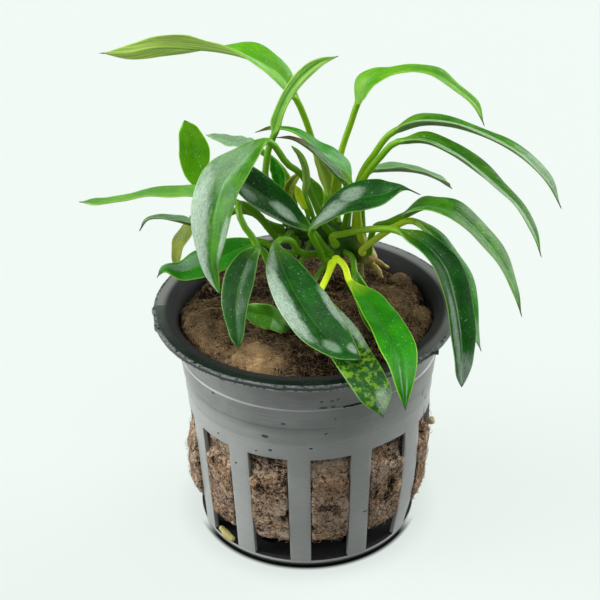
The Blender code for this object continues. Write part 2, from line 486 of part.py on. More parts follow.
LEAVES = [
    # The tall leaves at the back, from left to right
    dict(name="leaf_top_left", at=0.64, finish="leaf_bright", width=8.8, roll=(-28, -24, 30, 84, 84),
         fold=13,
         outline=(2.3, 3, 4.4, 4.4, 3.1, 3.3, 2.6, 1.9, 1.3),
         stalk=[(4.4, 15.6, 60.6), (3.2, 16, 65.6), (1.9, 16.2, 70), (0.6, 15.8, 74.6)],
         blade=[(-1.1, 15, 79.2), (-4.2, 15.4, 84), (-8.8, 15.9, 86.8), (-14, 16.6, 88.1),
                (-19.7, 17.4, 88.4), (-25.4, 17.8, 88.4), (-31.1, 18, 87.3), (-36.6, 18, 87.4)]),
    dict(name="leaf_pointed", at=0.77, finish="leaf_bright", width=2.4, roll=(50, 50, 50), fold=18,
         outline=(1, 1, 1.1, 1.1, 1.1, 1.2, 1.1, 0.9, 0.5),
         stalk=[(-1.1, 8.6, 57.5), (-4.9, 7.8, 61.9), (-6.8, 8.2, 66.4), (-6.6, 8.8, 70.1),
                (-6, 8.8, 72.9)],
         blade=[(-5.1, 8.6, 75.2), (-4, 8.4, 79.3), (-2.3, 8.3, 83.1), (0, 8.1, 86.3), (3, 8, 88.8),
                (6.4, 8, 90.1)]),
    dict(name="leaf_back_left", at=0.86, finish="leaf_dark", width=4.4, fold=10,
         outline=(1.6, 1.9, 2.1, 2.2, 2.2, 1.9, 1.7, 1.3, 0.9),
         stalk=[(-3, 15.5, 63.5)],
         blade=[(-8.8, 17.5, 68.7), (-11.1, 17.9, 69.1), (-13.4, 18.5, 69.4), (-15.7, 19.2, 69.8),
                (-18.1, 20, 70.2)]),
    dict(name="leaf_top_right", at=0.44, finish="leaf_bright", width=7.6, roll=(10, 10, 24, 31, 30),
         fold=12,
         outline=(3.8, 2.9, 1.3, 1.3, 1.4, 1.7, 1.2, 1, 1),
         stalk=[(5.8, 16.5, 60.1), (6.5, 17, 64.8), (7.6, 18, 68.9), (8.9, 18.8, 72.5)],
         blade=[(10.1, 19.5, 76), (12.1, 19.9, 79.9), (15.7, 20.2, 81.9), (20.2, 20.6, 82.5),
                (24.7, 20.9, 81.2), (28.5, 21, 78.4), (32.1, 20.7, 75.2), (34, 20, 71)]),
    dict(name="leaf_outer_right", at=0.3, finish="leaf_dark", width=6.8, roll=(0, -6, -8, 0, 4),
         outline=(3.4, 3.3, 2.8, 2.4, 2.1, 2.2, 2.2, 1.9, 1.4),
         stalk=[(9.7, 11.5, 59), (9.9, 12, 62.9), (11.1, 12, 66.5), (13, 11.2, 69.9), (14.6, 10.6, 72.8)],
         blade=[(16.5, 10, 74.9), (21.1, 9.3, 76.8), (26.1, 8.1, 77), (31.1, 6.6, 76), (35.6, 4.4, 74.5),
                (39.7, 2.3, 72.1), (43.2, 0.7, 68.6), (45.8, 0, 63.7)]),
    dict(name="leaf_inner_right", at=0.18, finish="leaf_dark", width=6.4, roll=(-4, -2, 0, 2),
         outline=(2.8, 3, 3.2, 3.1, 2.8, 2.3, 1.9, 1.8, 1.5),
         stalk=[(9.8, 8.8, 60.8), (10.5, 8.6, 65.1), (12, 8, 68.3), (13.9, 6.8, 71.4), (15.2, 5.8, 73.6)],
         blade=[(16.8, 5, 75.1), (21.5, 3.9, 75.8), (25.9, 2.4, 74.3), (30, 0.6, 71.9), (33.8, -1.6, 69.3),
                (37.3, -3.7, 66.4), (39.9, -5.6, 62.5), (41.6, -7, 57.8)]),
    dict(name="leaf_thin_right", at=0.16, finish="leaf_bright", width=5.2, roll=(-10, -8), fold=12,
         outline=(2.1, 2.5, 2.6, 2.5, 2.1, 2.1, 2.2, 2.1, 1.9),
         stalk=[(10.8, 15.5, 61.8), (11.8, 17, 63)],
         blade=[(13, 18, 63.5), (16.3, 18.6, 63.4), (19.6, 19, 63), (22.7, 19, 62.3), (25.8, 19, 60.8),
                (28.4, 19, 58.7)]),
    dict(name="leaf_curled_top", at=0.38, finish="leaf_bright", width=5.6, roll=(0, -4, 0, 0), fold=12,
         outline=(2.8, 2.8, 2.8, 2.6, 2.6, 1.7, 1, 0.6, 0.6),
         stalk=[(8.7, 14.6, 59.1)],
         blade=[(8.7, 13.6, 62.7), (7.6, 13.2, 66.1), (5.4, 12.7, 68.5), (2.5, 12.4, 70.5), (0.1, 12.2, 73),
                (-2.6, 12.4, 74.4), (-5.9, 12.6, 74.6), (-8.8, 12.6, 73.8)]),
    dict(name="leaf_dark_top", at=0.42, finish="leaf_dark", width=3, fold=12,
         outline=(1.5, 1.5, 1.5, 1.5, 1.5, 1.5, 1.3, 0.7, 0.5),
         stalk=[(8.3, 9.4, 60.5)],
         blade=[(7.7, 8.4, 65.3), (5.9, 8, 67.7), (4.1, 7.7, 69.9), (2.2, 7.4, 72.1), (0.1, 7.3, 73.8),
                (-2.2, 7.2, 75), (-4.8, 7.3, 75.2)]),
    # The leaves on the right that hang past the rim
    dict(name="leaf_mid_right", at=0.08, finish="leaf_dark", width=7.4, roll=(4, 8, 6, 4), fold=12,
         outline=(3.7, 3.3, 3.7, 3.7, 3.5, 3.3, 2.7, 1.9, 1),
         stalk=[(12.8, 6.5, 57), (15.2, 4, 59.5)],
         blade=[(17.6, 2.6, 61.5), (21.6, 1.3, 64.1), (25.8, -0.1, 63.9), (29.4, -1.6, 61.4),
                (32.5, -3.8, 58.6), (35, -6.6, 55.8), (36.9, -9.5, 52.5), (38, -12.2, 48.8)]),
    dict(name="leaf_low_right_back", at=0.16, finish="leaf_bright", width=5.4,
         outline=(1.6, 2.2, 2.5, 2.6, 2.7, 2.6, 2.3, 1.8, 1.1),
         stalk=[(10.6, 5.4, 53.2), (12.7, 4, 55.9), (16, 2.4, 59.3)],
         blade=[(19.3, 1, 61.4), (22.9, -1, 59.4), (25.5, -3, 56.3), (27.6, -5.5, 53.2), (29, -8, 49.7),
                (29.9, -9.5, 45.3), (31.4, -11, 41)]),
    dict(name="leaf_low_right_front", stem="front", at=0.45, finish="leaf_dark", width=6.6, drip=0,
         outline=(2.2, 2.9, 3.2, 3.3, 3.3, 3.2, 3, 2.6, 2),
         stalk=[(5.1, 6.4, 55.5), (7.4, 4, 57.4), (10.4, 1.5, 59.4), (13.5, -1, 60.9)],
         blade=[(16.5, -2.6, 61.3), (21, -6, 60.3), (24.3, -9.3, 57.7), (25.9, -12, 53.4),
                (26.8, -14.4, 48.7), (27.3, -16.5, 43.7), (27.4, -17.2, 37.6)]),
    # The leaves on the left
    dict(name="leaf_big_front_left", at=0.47, finish="leaf_dark", width=8.6, roll=(-20, -30), drip=0,
         outline=(2, 3.2, 4.1, 4.3, 4.3, 3.8, 3.1, 2.1, 1.1),
         stalk=[(3.9, 7.8, 57), (1.5, 7.7, 63.3), (-0.3, 6, 68.4), (-2.9, 4.2, 71.5)],
         blade=[(-6.1, 2, 76.9), (-10.2, -1.3, 75.1), (-13.5, -4.7, 72.6), (-15.2, -7.5, 68.8),
                (-16, -9.7, 64.3), (-16.2, -11.3, 59.4), (-14.7, -13, 54.7)]),
    dict(name="leaf_upright_left", at=1, finish="leaf_bright", width=5.8, roll=(-70, -70), fold=12,
         drip=0,
         outline=(0.9, 1.6, 2.2, 2.5, 2.8, 2.9, 2.6, 2.2, 1.6),
         stalk=[(-7, 9.4, 57.2), (-11.7, 8.8, 61.4)],
         blade=[(-18.1, 10, 62.9), (-19.1, 10, 65.8), (-19.7, 10, 68.8), (-19.8, 10, 71.8),
                (-20.4, 10, 74.8), (-21.1, 10, 77.6)]),
    dict(name="leaf_long_left", at=0.96, finish="leaf_bright", width=5.4, roll=(4, 0, -4), fold=10,
         outline=(2.6, 2.7, 2.3, 1.8, 1.4, 1.1, 1.2, 1.4, 1.4),
         stalk=[(-5.5, 12.8, 61.5), (-11, 10, 64)],
         blade=[(-16.6, 6, 65), (-20.5, 5.2, 65.4), (-24.5, 4.3, 65.9), (-28.4, 3.5, 66.2),
                (-32.3, 2.7, 65.7), (-36.2, 2, 65.4), (-40.2, 2, 65.6)]),
    dict(name="leaf_thin_left", at=1, finish="leaf_dark", width=4, fold=10,
         outline=(1.4, 1.9, 2, 2, 2, 1.4, 1, 0.7, 0.6),
         stalk=[(-6.4, 12, 54.6), (-10.7, 11.5, 59.1)],
         blade=[(-18.4, 9.5, 56.6), (-20.9, 7.5, 58.3), (-23.4, 6.4, 59.6), (-25.9, 5.7, 60.4),
                (-28.5, 5.2, 60.2), (-30.1, 5, 57.9)]),
    dict(name="leaf_yellowed", at=0.97, finish="leaf_yellow", width=5, fold=10, drip=0,
         outline=(1.4, 1.9, 2.3, 2.4, 2.5, 2.5, 2.3, 2, 1.5),
         stalk=[(-5.7, 14.4, 52), (-10.1, 14.5, 56.7)],
         blade=[(-19.4, 13, 57.2), (-20.9, 12.2, 55.4), (-22.3, 11.4, 53.5), (-23.4, 10.6, 51.4),
                (-23.9, 10, 49.1), (-23.5, 9.4, 46.7)]),
    dict(name="leaf_low_left", at=0.9, finish="leaf_bright", width=6, roll=(-34, -30), fold=12,
         outline=(1.3, 2.2, 2.8, 3, 3, 3, 2.5, 1.9, 0.9),
         stalk=[(-1.9, 7.5, 51.8), (-5.2, 5.6, 53.6)],
         blade=[(-7.7, 5, 55.4), (-10.7, 4.3, 54.9), (-13.6, 3.6, 53.9), (-16.4, 2.9, 52.8),
                (-19.4, 2.1, 52.1), (-22.4, 1.4, 51.4), (-25.4, 0.7, 52.4), (-27, 0, 50.9)]),
    # The leaves that hang to the front
    dict(name="leaf_small_front_left", at=0.9, finish="leaf_dark", width=5.6, fold=12, drip=0.01,
         outline=(1.6, 2.3, 2.7, 2.8, 2.7, 2.5, 2.1, 1.7, 1.2),
         stalk=[(-4.6, 6, 55.2), (-8.1, 4.6, 61.1), (-11, 2, 64.8), (-11.6, -1, 65.5), (-10.8, -3.2, 63.4)],
         blade=[(-8.4, -5, 60.1), (-10, -7, 58.2), (-11.2, -9, 55.9), (-11.9, -11.5, 53.8),
                (-12.1, -14, 51.6), (-11.9, -16, 49.2), (-11.7, -18, 46.7)]),
    dict(name="leaf_big_front", stem="front", at=0.5, finish="leaf_dark", width=9.2, drip=0,
         outline=(2.2, 3.3, 3.9, 4.3, 4.6, 4.5, 4.3, 3.6, 2.4),
         stalk=[(1.8, 7.8, 51.2), (-1, 3.4, 54.2), (-2.5, -0.5, 58.6)],
         blade=[(-5, -3, 59.4), (-4, -7.2, 56.8), (-2.2, -12, 55), (0, -16.5, 53.3), (2.6, -20.3, 51.5),
                (5.6, -23.5, 50.1), (9.3, -26, 49.3)]),
    dict(name="leaf_under_front", stem="front", at=1, finish="leaf_dark", width=7, drip=0.01,
         outline=(1.6, 2.5, 3.1, 3.4, 3.5, 3.5, 3.4, 3.2, 2.7),
         stalk=[(4.4, 4.2, 49), (2.9, -1, 48.7)],
         blade=[(2.1, -5.5, 50.5), (3.7, -10.5, 48.9), (5.6, -16.1, 48.1), (7.5, -22.4, 47.8),
                (9.5, -26.7, 46.5), (11.4, -29.7, 44.4), (12.7, -31.5, 41.3)]),
    dict(name="leaf_bright_front", stem="front", at=0.9, finish="leaf_bright", width=6.4, drip=0.01,
         outline=(1.4, 2.4, 2.8, 3.1, 3.1, 3.2, 3.1, 2.4, 1.4),
         stalk=[(6.8, 5.2, 50.8), (7.6, 4, 50)],
         blade=[(8.3, 1, 49), (11.1, -5.7, 49.2), (13.2, -12.7, 49.3), (14.9, -20, 49.4), (16, -25.5, 48.4),
                (16.2, -29.2, 46), (16.4, -31, 42.3)]),
    dict(name="leaf_dark_front_right", stem="front", at=0.5, finish="leaf_dark", width=4,
         stalk=[(8.8, 7.2, 50.8)],
         blade=[(9.3, 4.6, 48.9), (10.4, 0, 47.2), (12.5, -11, 46.6), (14.6, -18, 46.8), (16, -23.5, 47)]),
    dict(name="leaf_centre_dark", stem="front", at=0.8, finish="leaf_dark", width=6.6, roll=(-50, -50),
         outline=(1.1, 1.9, 2.5, 2.9, 3.2, 3.3, 3.2, 2.9, 1.9),
         stalk=[(4.4, 7, 52.2), (2.9, 6, 54.9)],
         blade=[(1.4, 5.2, 57.4), (-1.4, 4.5, 60.1), (-4.1, 3.9, 62.8), (-6.8, 3.3, 65.4),
                (-9.5, 2.8, 67.9), (-12, 2.3, 70.6), (-14.3, 2, 73.4)]),
    dict(name="leaf_centre_right", stem="front", at=0.7, finish="leaf_dark", width=7.8, roll=(22, 22),
         fold=12,
         outline=(1.6, 2.4, 3, 3.6, 3.9, 3.7, 3.3, 1.9, 0.2),
         stalk=[(3.6, 6.4, 50.7), (3, 4.6, 53.3), (1.8, 3.2, 56.6)],
         blade=[(1.3, 2.6, 58.9), (4, 3, 61.5), (7.1, 3.1, 63.6), (10.5, 3, 65), (14.1, 2.3, 66),
                (17.6, 1.7, 67.5), (20.8, 1, 66.5)]),
    # The young leaves in the heart of the plant
    dict(name="young_leaf_curved", at=0.67, finish="leaf_bright", width=1, roll=(70, 70), fold=12,
         thick=0.7, drip=0,
         outline=(0.3, 0.4, 0.5, 0.5, 0.5, 0.5, 0.5, 0.4, 0.3),
         stalk=[(1.3, 5.2, 61.7)],
         blade=[(0.3, 4.2, 65.4), (0.5, 3.9, 68.2), (0.3, 3.7, 70.9), (-0.6, 3.6, 73.4),
                (-2.1, 3.5, 75.3)]),
    dict(name="young_leaf_olive", at=0.57, finish="leaf_young", width=3, roll=(60, 60), fold=12,
         thick=0.7, drip=0,
         outline=(1, 1.4, 1.4, 1.5, 1.5, 1.4, 1.3, 0.9, 0.5),
         stalk=[(5.3, 13.2, 57.6)],
         blade=[(5, 13.4, 60.2), (4.4, 13.6, 62.8), (3.7, 13.8, 65.3), (2.8, 13.6, 67.9),
                (1.6, 13.4, 70.4)]),
    dict(name="young_leaf_dark", at=0.5, finish="leaf_young", width=2, roll=(60, 60), fold=12, thick=0.7,
         outline=(0.7, 0.8, 1, 1, 1, 0.9, 0.8, 0.6, 0.4),
         stalk=[(6, 11.2, 59)],
         blade=[(5.6, 11.4, 61), (5.8, 11.5, 62.4), (6, 11.6, 63.8), (6, 11.7, 65.3), (5.9, 11.8, 66.7)]),
    dict(name="young_leaf_left", at=0.92, finish="leaf_dark", width=2.6, roll=(-60, -60), fold=12,
         thick=0.7,
         outline=(0.6, 0.9, 1.1, 1.2, 1.3, 1.2, 1.2, 0.9, 0.6),
         stalk=[(-3.3, 9.8, 58.8), (-3.5, 10.6, 60.1)],
         blade=[(-4.1, 10.8, 62.4), (-4.3, 11, 64.3), (-4.6, 11.2, 66.1), (-5.2, 11.6, 67.8),
                (-5.8, 12, 69.4)]),
    dict(name="young_leaf_arched", at=0.88, finish="leaf_young", width=2, roll=(60, 60), thick=0.7,
         outline=(0.7, 0.9, 1, 0.9, 0.9, 0.8, 0.7, 0.5, 0.3),
         stalk=[(-1.6, 10.2, 58.4)],
         blade=[(-2.8, 8.8, 62), (-2.6, 8.7, 63.8), (-2.1, 8.6, 65.4), (-1.2, 8.5, 66.8), (0, 8.4, 67.9)]),
    dict(name="young_leaf_green", at=0.6, finish="leaf_bright", width=2.4, roll=(-60, -60), fold=12,
         thick=0.7, drip=0,
         outline=(0.6, 0.9, 1, 1.1, 1.2, 1.1, 0.9, 0.6, 0.3),
         stalk=[(3.7, 10.2, 57.7)],
         blade=[(3, 10.6, 59.8), (2.8, 10.8, 61.3), (2.3, 11, 62.7), (1.7, 11.1, 64.1), (1.1, 11.2, 65.5)]),
    dict(name="young_leaf_yellow", at=0.79, finish="leaf_yellow", width=1.6, roll=(-60, -60), fold=12,
         thick=0.7, drip=0,
         outline=(0.5, 0.6, 0.7, 0.7, 0.8, 0.8, 0.7, 0.6, 0.3),
         stalk=[(0.8, 10.7, 57.5)],
         blade=[(0.4, 10.8, 59.1), (-0.3, 10.7, 60.7), (-1, 10.7, 62.4), (-1.5, 10.6, 64.1)]),
    dict(name="young_leaf_hanging", at=0.7, finish="leaf_bright", width=1.6, roll=(-50, -50), fold=12,
         thick=0.7, drip=0,
         outline=(0.6, 0.7, 0.8, 0.8, 0.8, 0.8, 0.7, 0.6, 0.3),
         stalk=[(-0.7, 6.2, 50), (-3.1, 3.8, 49.5)],
         blade=[(-5.7, 2.6, 50.4), (-6.5, 2.5, 52.4), (-7.4, 2.3, 54.4), (-8.4, 2.2, 56.3)]),
    dict(name="young_leaf_lying", stem="front", at=1, finish="leaf_bright", width=4.6, roll=(36, 36),
         fold=8, thick=0.7, drip=0,
         outline=(1.1, 1.6, 2, 2.2, 2.3, 2.1, 1.9, 1.4, 0.9),
         stalk=[(2.6, 6.6, 47.6), (0.6, -1, 47.4)],
         blade=[(-3.1, -12.6, 47.8), (-5.8, -10.4, 48.4), (-8.9, -9.2, 48.7), (-12, -7.6, 48.9)]),
]


ROOT_TIPS = {             # the two pale root ends that show in the slots
    "root_tip_left": ([(-16.8, -12.8, 3.8), (-15.3, -14.5, 3.0), (-13.9, -15.8, 2.6)], (0.4, 0.8, 0.5)),
    "root_tip_right": ([(23.2, -6.1, 22.5), (23.6, -5.2, 22.2), (23.7, -4.4, 22.5)], (0.45, 0.7, 0.4)),
}


def build():
    clear_scene()
    parts = new_collection("potted_anubias")
    cutters = new_collection("cutters")
    materials = {name: make_material(name) for name in COLOURS}

    pot = make_pot(parts, cutters)
    pot.data.materials.append(materials["pot_plastic"])
    wool = make_wool(parts, cutters)
    wool.data.materials.append(materials["mineral_wool"])
    rhizome = make_rhizome(parts, cutters)
    rhizome.data.materials.append(materials["rhizome_skin"])
    for leaf in LEAVES:
        details = dict(leaf)
        name = details.pop("name")
        finish = materials[details.pop("finish")]
        make_leaf(name, parts, finish, **details)
    for name, (points, radii) in ROOT_TIPS.items():
        tip = tube(name, points, radii, parts)
        tip.data.materials.append(materials["root_skin"])


build()
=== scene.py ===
# %% [markdown]
# # A small anubias in its basket pot
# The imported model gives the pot, the wool and the plant their true sizes and places. This lesson
# dresses them. Every leaf gets a smooth skin with veins, the pot gets thin walls with real slots,
# and the wool gets its fibres. Sizes are written in millimetres and turned to metres at the end.

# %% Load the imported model
import math
import random

import bmesh
import bpy
from mathutils import Matrix, Vector, noise
from mathutils.bvhtree import BVHTree


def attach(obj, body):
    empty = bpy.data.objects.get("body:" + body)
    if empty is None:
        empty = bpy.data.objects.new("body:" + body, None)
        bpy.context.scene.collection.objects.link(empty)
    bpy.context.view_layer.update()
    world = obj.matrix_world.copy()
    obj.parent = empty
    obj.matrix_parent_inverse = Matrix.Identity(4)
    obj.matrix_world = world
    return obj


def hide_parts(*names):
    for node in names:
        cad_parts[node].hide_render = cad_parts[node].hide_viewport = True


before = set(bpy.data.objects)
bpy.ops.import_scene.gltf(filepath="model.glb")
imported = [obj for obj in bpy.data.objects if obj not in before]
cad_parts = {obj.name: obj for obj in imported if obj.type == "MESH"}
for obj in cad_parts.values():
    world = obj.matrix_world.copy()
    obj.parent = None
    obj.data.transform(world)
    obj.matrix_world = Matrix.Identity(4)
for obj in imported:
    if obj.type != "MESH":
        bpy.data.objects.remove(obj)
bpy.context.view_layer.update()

MM = 0.001
PER_METRE = 1000.0
print("nodes in the packed model:", len(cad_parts))

# %% [markdown]
# ## The camera
# The pot's round mouth is seen as an ellipse, and how flat that ellipse is gives the height of the
# view: about 30 degrees above level. A long lens a little over a quarter of a metre away keeps the
# pot's sides almost parallel, as they look here.

# %% Set the camera
ELEVATION = math.radians(30.4)
ROLL = math.radians(-0.8)
DISTANCE = 275.7
TARGET = Vector((-0.93, 0.31, 45.7))

level = Vector((1.0, 0.0, 0.0))
raised = Vector((0.0, math.sin(ELEVATION), math.cos(ELEVATION)))
backward = Vector((0.0, -math.cos(ELEVATION), math.sin(ELEVATION)))
rightward = level * math.cos(ROLL) + raised * math.sin(ROLL)
upward = raised * math.cos(ROLL) - level * math.sin(ROLL)

lens = bpy.data.cameras.new("camera")
lens.lens = 90.0
lens.sensor_width = 36.0
lens.clip_start = 0.01
camera = bpy.data.objects.new("camera", lens)
turn = Matrix((rightward, upward, backward)).transposed().to_4x4()
camera.matrix_world = Matrix.Translation((TARGET + backward * DISTANCE) * MM) @ turn
bpy.context.scene.collection.objects.link(camera)
bpy.context.scene.camera = camera
print("camera height in mm:", round(camera.matrix_world.translation.z / MM, 1))

# %% [markdown]
# ## The light
# The plant stands on a white sweep, lit softly from the left, from behind on the right and from
# above. That leaves the front of the pot darker than its two sides, which is what makes it look
# round. A sun lamp with a very wide angle is a good stand-in for a softbox that is far away: it
# lights everything evenly, and it shows as a broad soft highlight on glossy leaves. Two more lamps
# add highlights and no other light. The sky is dim, so the parts of a leaf that face no lamp stay
# deep green.

# %% Set the lights and the sky
scene = bpy.context.scene
scene.view_settings.view_transform = "Standard"


def softbox(name, towards, strength, spread):
    """A wide sun lamp; towards points from the plant to the lamp."""
    lamp = bpy.data.lights.new(name, "SUN")
    lamp.energy = strength
    lamp.angle = math.radians(spread)
    light = bpy.data.objects.new(name, lamp)
    light.matrix_world = Vector(towards).to_track_quat("Z", "Y").to_matrix().to_4x4()
    scene.collection.objects.link(light)
    return light


softbox("left_softbox", (-1.0, 0.0, 0.45), 2.7, 45.0)
softbox("right_softbox", (1.0, 0.6, 0.4), 2.9, 45.0)
softbox("top_softbox", (0.0, -0.3, 1.0), 1.5, 60.0)
for side, strength in ((-0.85, 1.1), (0.9, 0.4)):
    shine = softbox("shine", (side, 0.05, 0.6), strength, 36.0)
    shine.visible_diffuse = False
sky = bpy.data.worlds.new("sky")
sky.use_nodes = True
sky.node_tree.nodes["Background"].inputs["Color"].default_value = (0.97, 1.0, 0.99, 1.0)
sky.node_tree.nodes["Background"].inputs["Strength"].default_value = 0.15
scene.world = sky

# %% [markdown]
# ## A short way to write materials
# A material is a tree of nodes, and trees are slow to read as code. The two small classes below
# let plain Python do the writing. A Wire is one output of a node; adding or multiplying wires adds
# the Math node that does it. A Finish is one material, and its node method adds any other node.

# %% Wires and finishes
class Wire:
    """One output of a shader node, on which ordinary operators add Math nodes."""

    def __init__(self, finish, socket):
        self.finish = finish
        self.socket = socket

    def maths(self, operation, *values):
        return self.finish.node("ShaderNodeMath", {"operation": operation}, values)

    def __add__(self, other):
        return self.maths("ADD", self, other)

    def __radd__(self, other):
        return self.maths("ADD", other, self)

    def __sub__(self, other):
        return self.maths("SUBTRACT", self, other)

    def __rsub__(self, other):
        return self.maths("SUBTRACT", other, self)

    def __mul__(self, other):
        return self.maths("MULTIPLY", self, other)

    def __rmul__(self, other):
        return self.maths("MULTIPLY", other, self)

    def __truediv__(self, other):
        return self.maths("DIVIDE", self, other)

    def size(self):
        return self.maths("ABSOLUTE", self)

    def root(self):
        return self.maths("SQRT", self)

    def sine(self):
        return self.maths("SINE", self)

    def highest(self, other):
        return self.maths("MAXIMUM", self, other)

    def ease(self, low, high):
        """Runs smoothly from 0 at low to 1 at high; low may be the larger of the two."""
        settings = {"interpolation_type": "SMOOTHSTEP"}
        values = {"Value": self, "From Min": low, "From Max": high}
        return self.finish.node("ShaderNodeMapRange", settings, values)


class Finish:
    """A material with one Principled shader, whose nodes are added an expression at a time."""

    def __init__(self, name, fixed):
        self.material = bpy.data.materials.new(name)
        self.material.use_nodes = True
        self.tree = self.material.node_tree
        self.shader = self.tree.nodes["Principled BSDF"]
        for socket, value in fixed.items():
            self.feed(self.shader.inputs[socket], value)

    def feed(self, socket, value):
        if isinstance(value, Wire):
            self.tree.links.new(value.socket, socket)
        elif socket.type == "RGBA" and len(value) == 3:
            socket.default_value = (*value, 1.0)
        else:
            socket.default_value = value

    def node(self, kind, settings, values, output=0):
        """Adds a node: its settings first, then the values or wires of its sockets."""
        node = self.tree.nodes.new(kind)
        for key, value in settings.items():
            setattr(node, key, value)
        pairs = values.items() if isinstance(values, dict) else enumerate(values)
        for key, value in pairs:
            self.feed(node.inputs[key], value)
        return Wire(self, node.outputs[output])

    def place(self):
        return self.node("ShaderNodeTexCoord", {}, {}, "Object")

    def parts(self, vector):
        """The x, y and z of a vector as three wires."""
        node = self.tree.nodes.new("ShaderNodeSeparateXYZ")
        self.feed(node.inputs[0], vector)
        return [Wire(self, output) for output in node.outputs]

    def vector(self, x, y, z):
        return self.node("ShaderNodeCombineXYZ", {}, (x, y, z))

    def map(self, name):
        """The two numbers that a UV map stores at each point of the surface."""
        return self.parts(self.node("ShaderNodeUVMap", {"uv_map": name}, {}))[:2]

    def mottle(self, vector, scale, detail=3.0, roughness=0.55):
        values = {"Vector": vector, "Scale": scale, "Detail": detail, "Roughness": roughness}
        return self.node("ShaderNodeTexNoise", {}, values)

    def blend(self, share, first, second):
        """Mixes two colours; share 0 gives the first. Sockets 6 and 7 are the node's colour inputs."""
        return self.node("ShaderNodeMix", {"data_type": "RGBA"}, {0: share, 6: first, 7: second}, 2)

    def set(self, socket, value):
        self.feed(self.shader.inputs[socket], value)

    def raise_by(self, height, strength, distance):
        """Bumps the surface; distance is in metres."""
        values = {"Strength": strength, "Distance": distance, "Height": height}
        self.set("Normal", self.node("ShaderNodeBump", {}, values))


print("ready to write finishes")

# %% [markdown]
# ## The floor
# A large pale sheet, which isn't part of the plant. It glows like a lit white
# sweep, but its glow is kept from lighting the pot from below. Under the front of the pot's rounded
# foot lies a thin dark line of shadow, with a faint one round the whole foot.

# %% Lay the floor
FLOOR_SIZE = 4.0
FLOOR_COLOUR = (0.13, 0.142, 0.135)
FLOOR_GLOW = (0.845, 0.915, 0.873)
SHADOW_START, SHADOW_END = 20.6, 21.7     # from the middle, in mm
SHADOW_FRONT, SHADOW_SIDE = 0.55, 0.25    # how far to the front the line is full, and where it ends
FAINT_START, FAINT_END = 20.5, 27.0
FAINT_SHADE = 0.12
BLACK = (0.0, 0.0, 0.0)

floor_shape = bmesh.new()
bmesh.ops.create_grid(floor_shape, x_segments=1, y_segments=1, size=FLOOR_SIZE / 2.0)
floor_mesh = bpy.data.meshes.new("floor")
floor_shape.to_mesh(floor_mesh)
floor_shape.free()
floor_finish = Finish("pale_paper", {"Roughness": 0.9, "Specular IOR Level": 0.1, "Emission Strength": 0.84})
x, y, _ = floor_finish.parts(floor_finish.place())
from_middle = (x * x + y * y).root() * PER_METRE
at_front = (0.0 - y) * PER_METRE / from_middle
ring = from_middle.ease(SHADOW_START, SHADOW_END)
ring = ring.highest(at_front.ease(SHADOW_FRONT, SHADOW_SIDE))
faint = from_middle.ease(FAINT_START, FAINT_END) * FAINT_SHADE + (1.0 - FAINT_SHADE)
open_floor = ring * faint
floor_finish.set("Base Color", floor_finish.blend(open_floor, BLACK, FLOOR_COLOUR))
floor_finish.set("Emission Color", floor_finish.blend(open_floor, BLACK, FLOOR_GLOW))
floor_mesh.materials.append(floor_finish.material)
floor = bpy.data.objects.new("floor", floor_mesh)
floor.visible_diffuse = False
scene.collection.objects.link(floor)
print("floor of", FLOOR_SIZE, "m")

# %% [markdown]
# ## Putting pieces in place
# Each new piece rides on the body of the model and stands for a node of it, which is hidden. The
# first helper does this for all of them. The others close up a shape that is being worked on and
# turn it, or a curve, into a plain mesh.

# %% The helpers that make and place a piece
FINE_WELD, COARSE_WELD = 0.000002, 0.000005   # points closer than this are joined, in metres


def add_piece(name, mesh, slot, *nodes):
    piece = bpy.data.objects.new(name, mesh)
    scene.collection.objects.link(piece)
    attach(piece, "root")
    if nodes:
        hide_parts(*nodes)
    return piece


def close_up(shape, reach=FINE_WELD):
    """Joins the points of a bmesh that lie in one place and turns its faces outward."""
    bmesh.ops.remove_doubles(shape, verts=shape.verts, dist=reach)
    bmesh.ops.recalc_face_normals(shape, faces=shape.faces)


def finished_mesh(name, shape, material=None):
    """Turns a bmesh into a smooth-shaded mesh and lets the bmesh go."""
    mesh = bpy.data.meshes.new(name)
    shape.to_mesh(mesh)
    shape.free()
    mesh.shade_smooth()
    if material is not None:
        mesh.materials.append(material)
    return mesh


def evaluated_mesh(name, data, cell=None):
    """The plain mesh of a curve or mesh; a cell in mm first joins it into one even skin."""
    holder = bpy.data.objects.new(name, data)
    scene.collection.objects.link(holder)
    if cell is not None:
        remesh = holder.modifiers.new("one_skin", "REMESH")
        remesh.mode = "VOXEL"
        remesh.voxel_size = cell * MM
    graph = bpy.context.evaluated_depsgraph_get()
    mesh = bpy.data.meshes.new_from_object(holder.evaluated_get(graph))
    bpy.data.objects.remove(holder, do_unlink=True)
    return mesh


# %% [markdown]
# ## The lines of the leaves
# Each leaf is one grown piece: a round stalk that widens into a blade. What makes a leaf is the line
# through its middle, so that line is given as a few points, first along the stalk and then along the
# blade. A Catmull-Rom curve joins them, because it passes through every point.

# %% Points along a smooth line
def smooth_point(points, t):
    """Catmull-Rom curve through the points; t runs from 0 to the last point's index."""
    last = len(points) - 1
    index = min(int(t), last - 1)
    share = t - index
    p1, p2 = points[index], points[index + 1]
    p0 = points[index - 1] if index > 0 else p1 * 2.0 - p2
    p3 = points[index + 2] if index + 2 <= last else p2 * 2.0 - p1
    slope1 = (p2 - p0) * 0.5
    slope2 = (p3 - p1) * 0.5
    a, b = share * share, share * share * share
    return p1 * (2 * b - 3 * a + 1) + slope1 * (b - 2 * a + share) + p2 * (3 * a - 2 * b) + slope2 * (b - a)


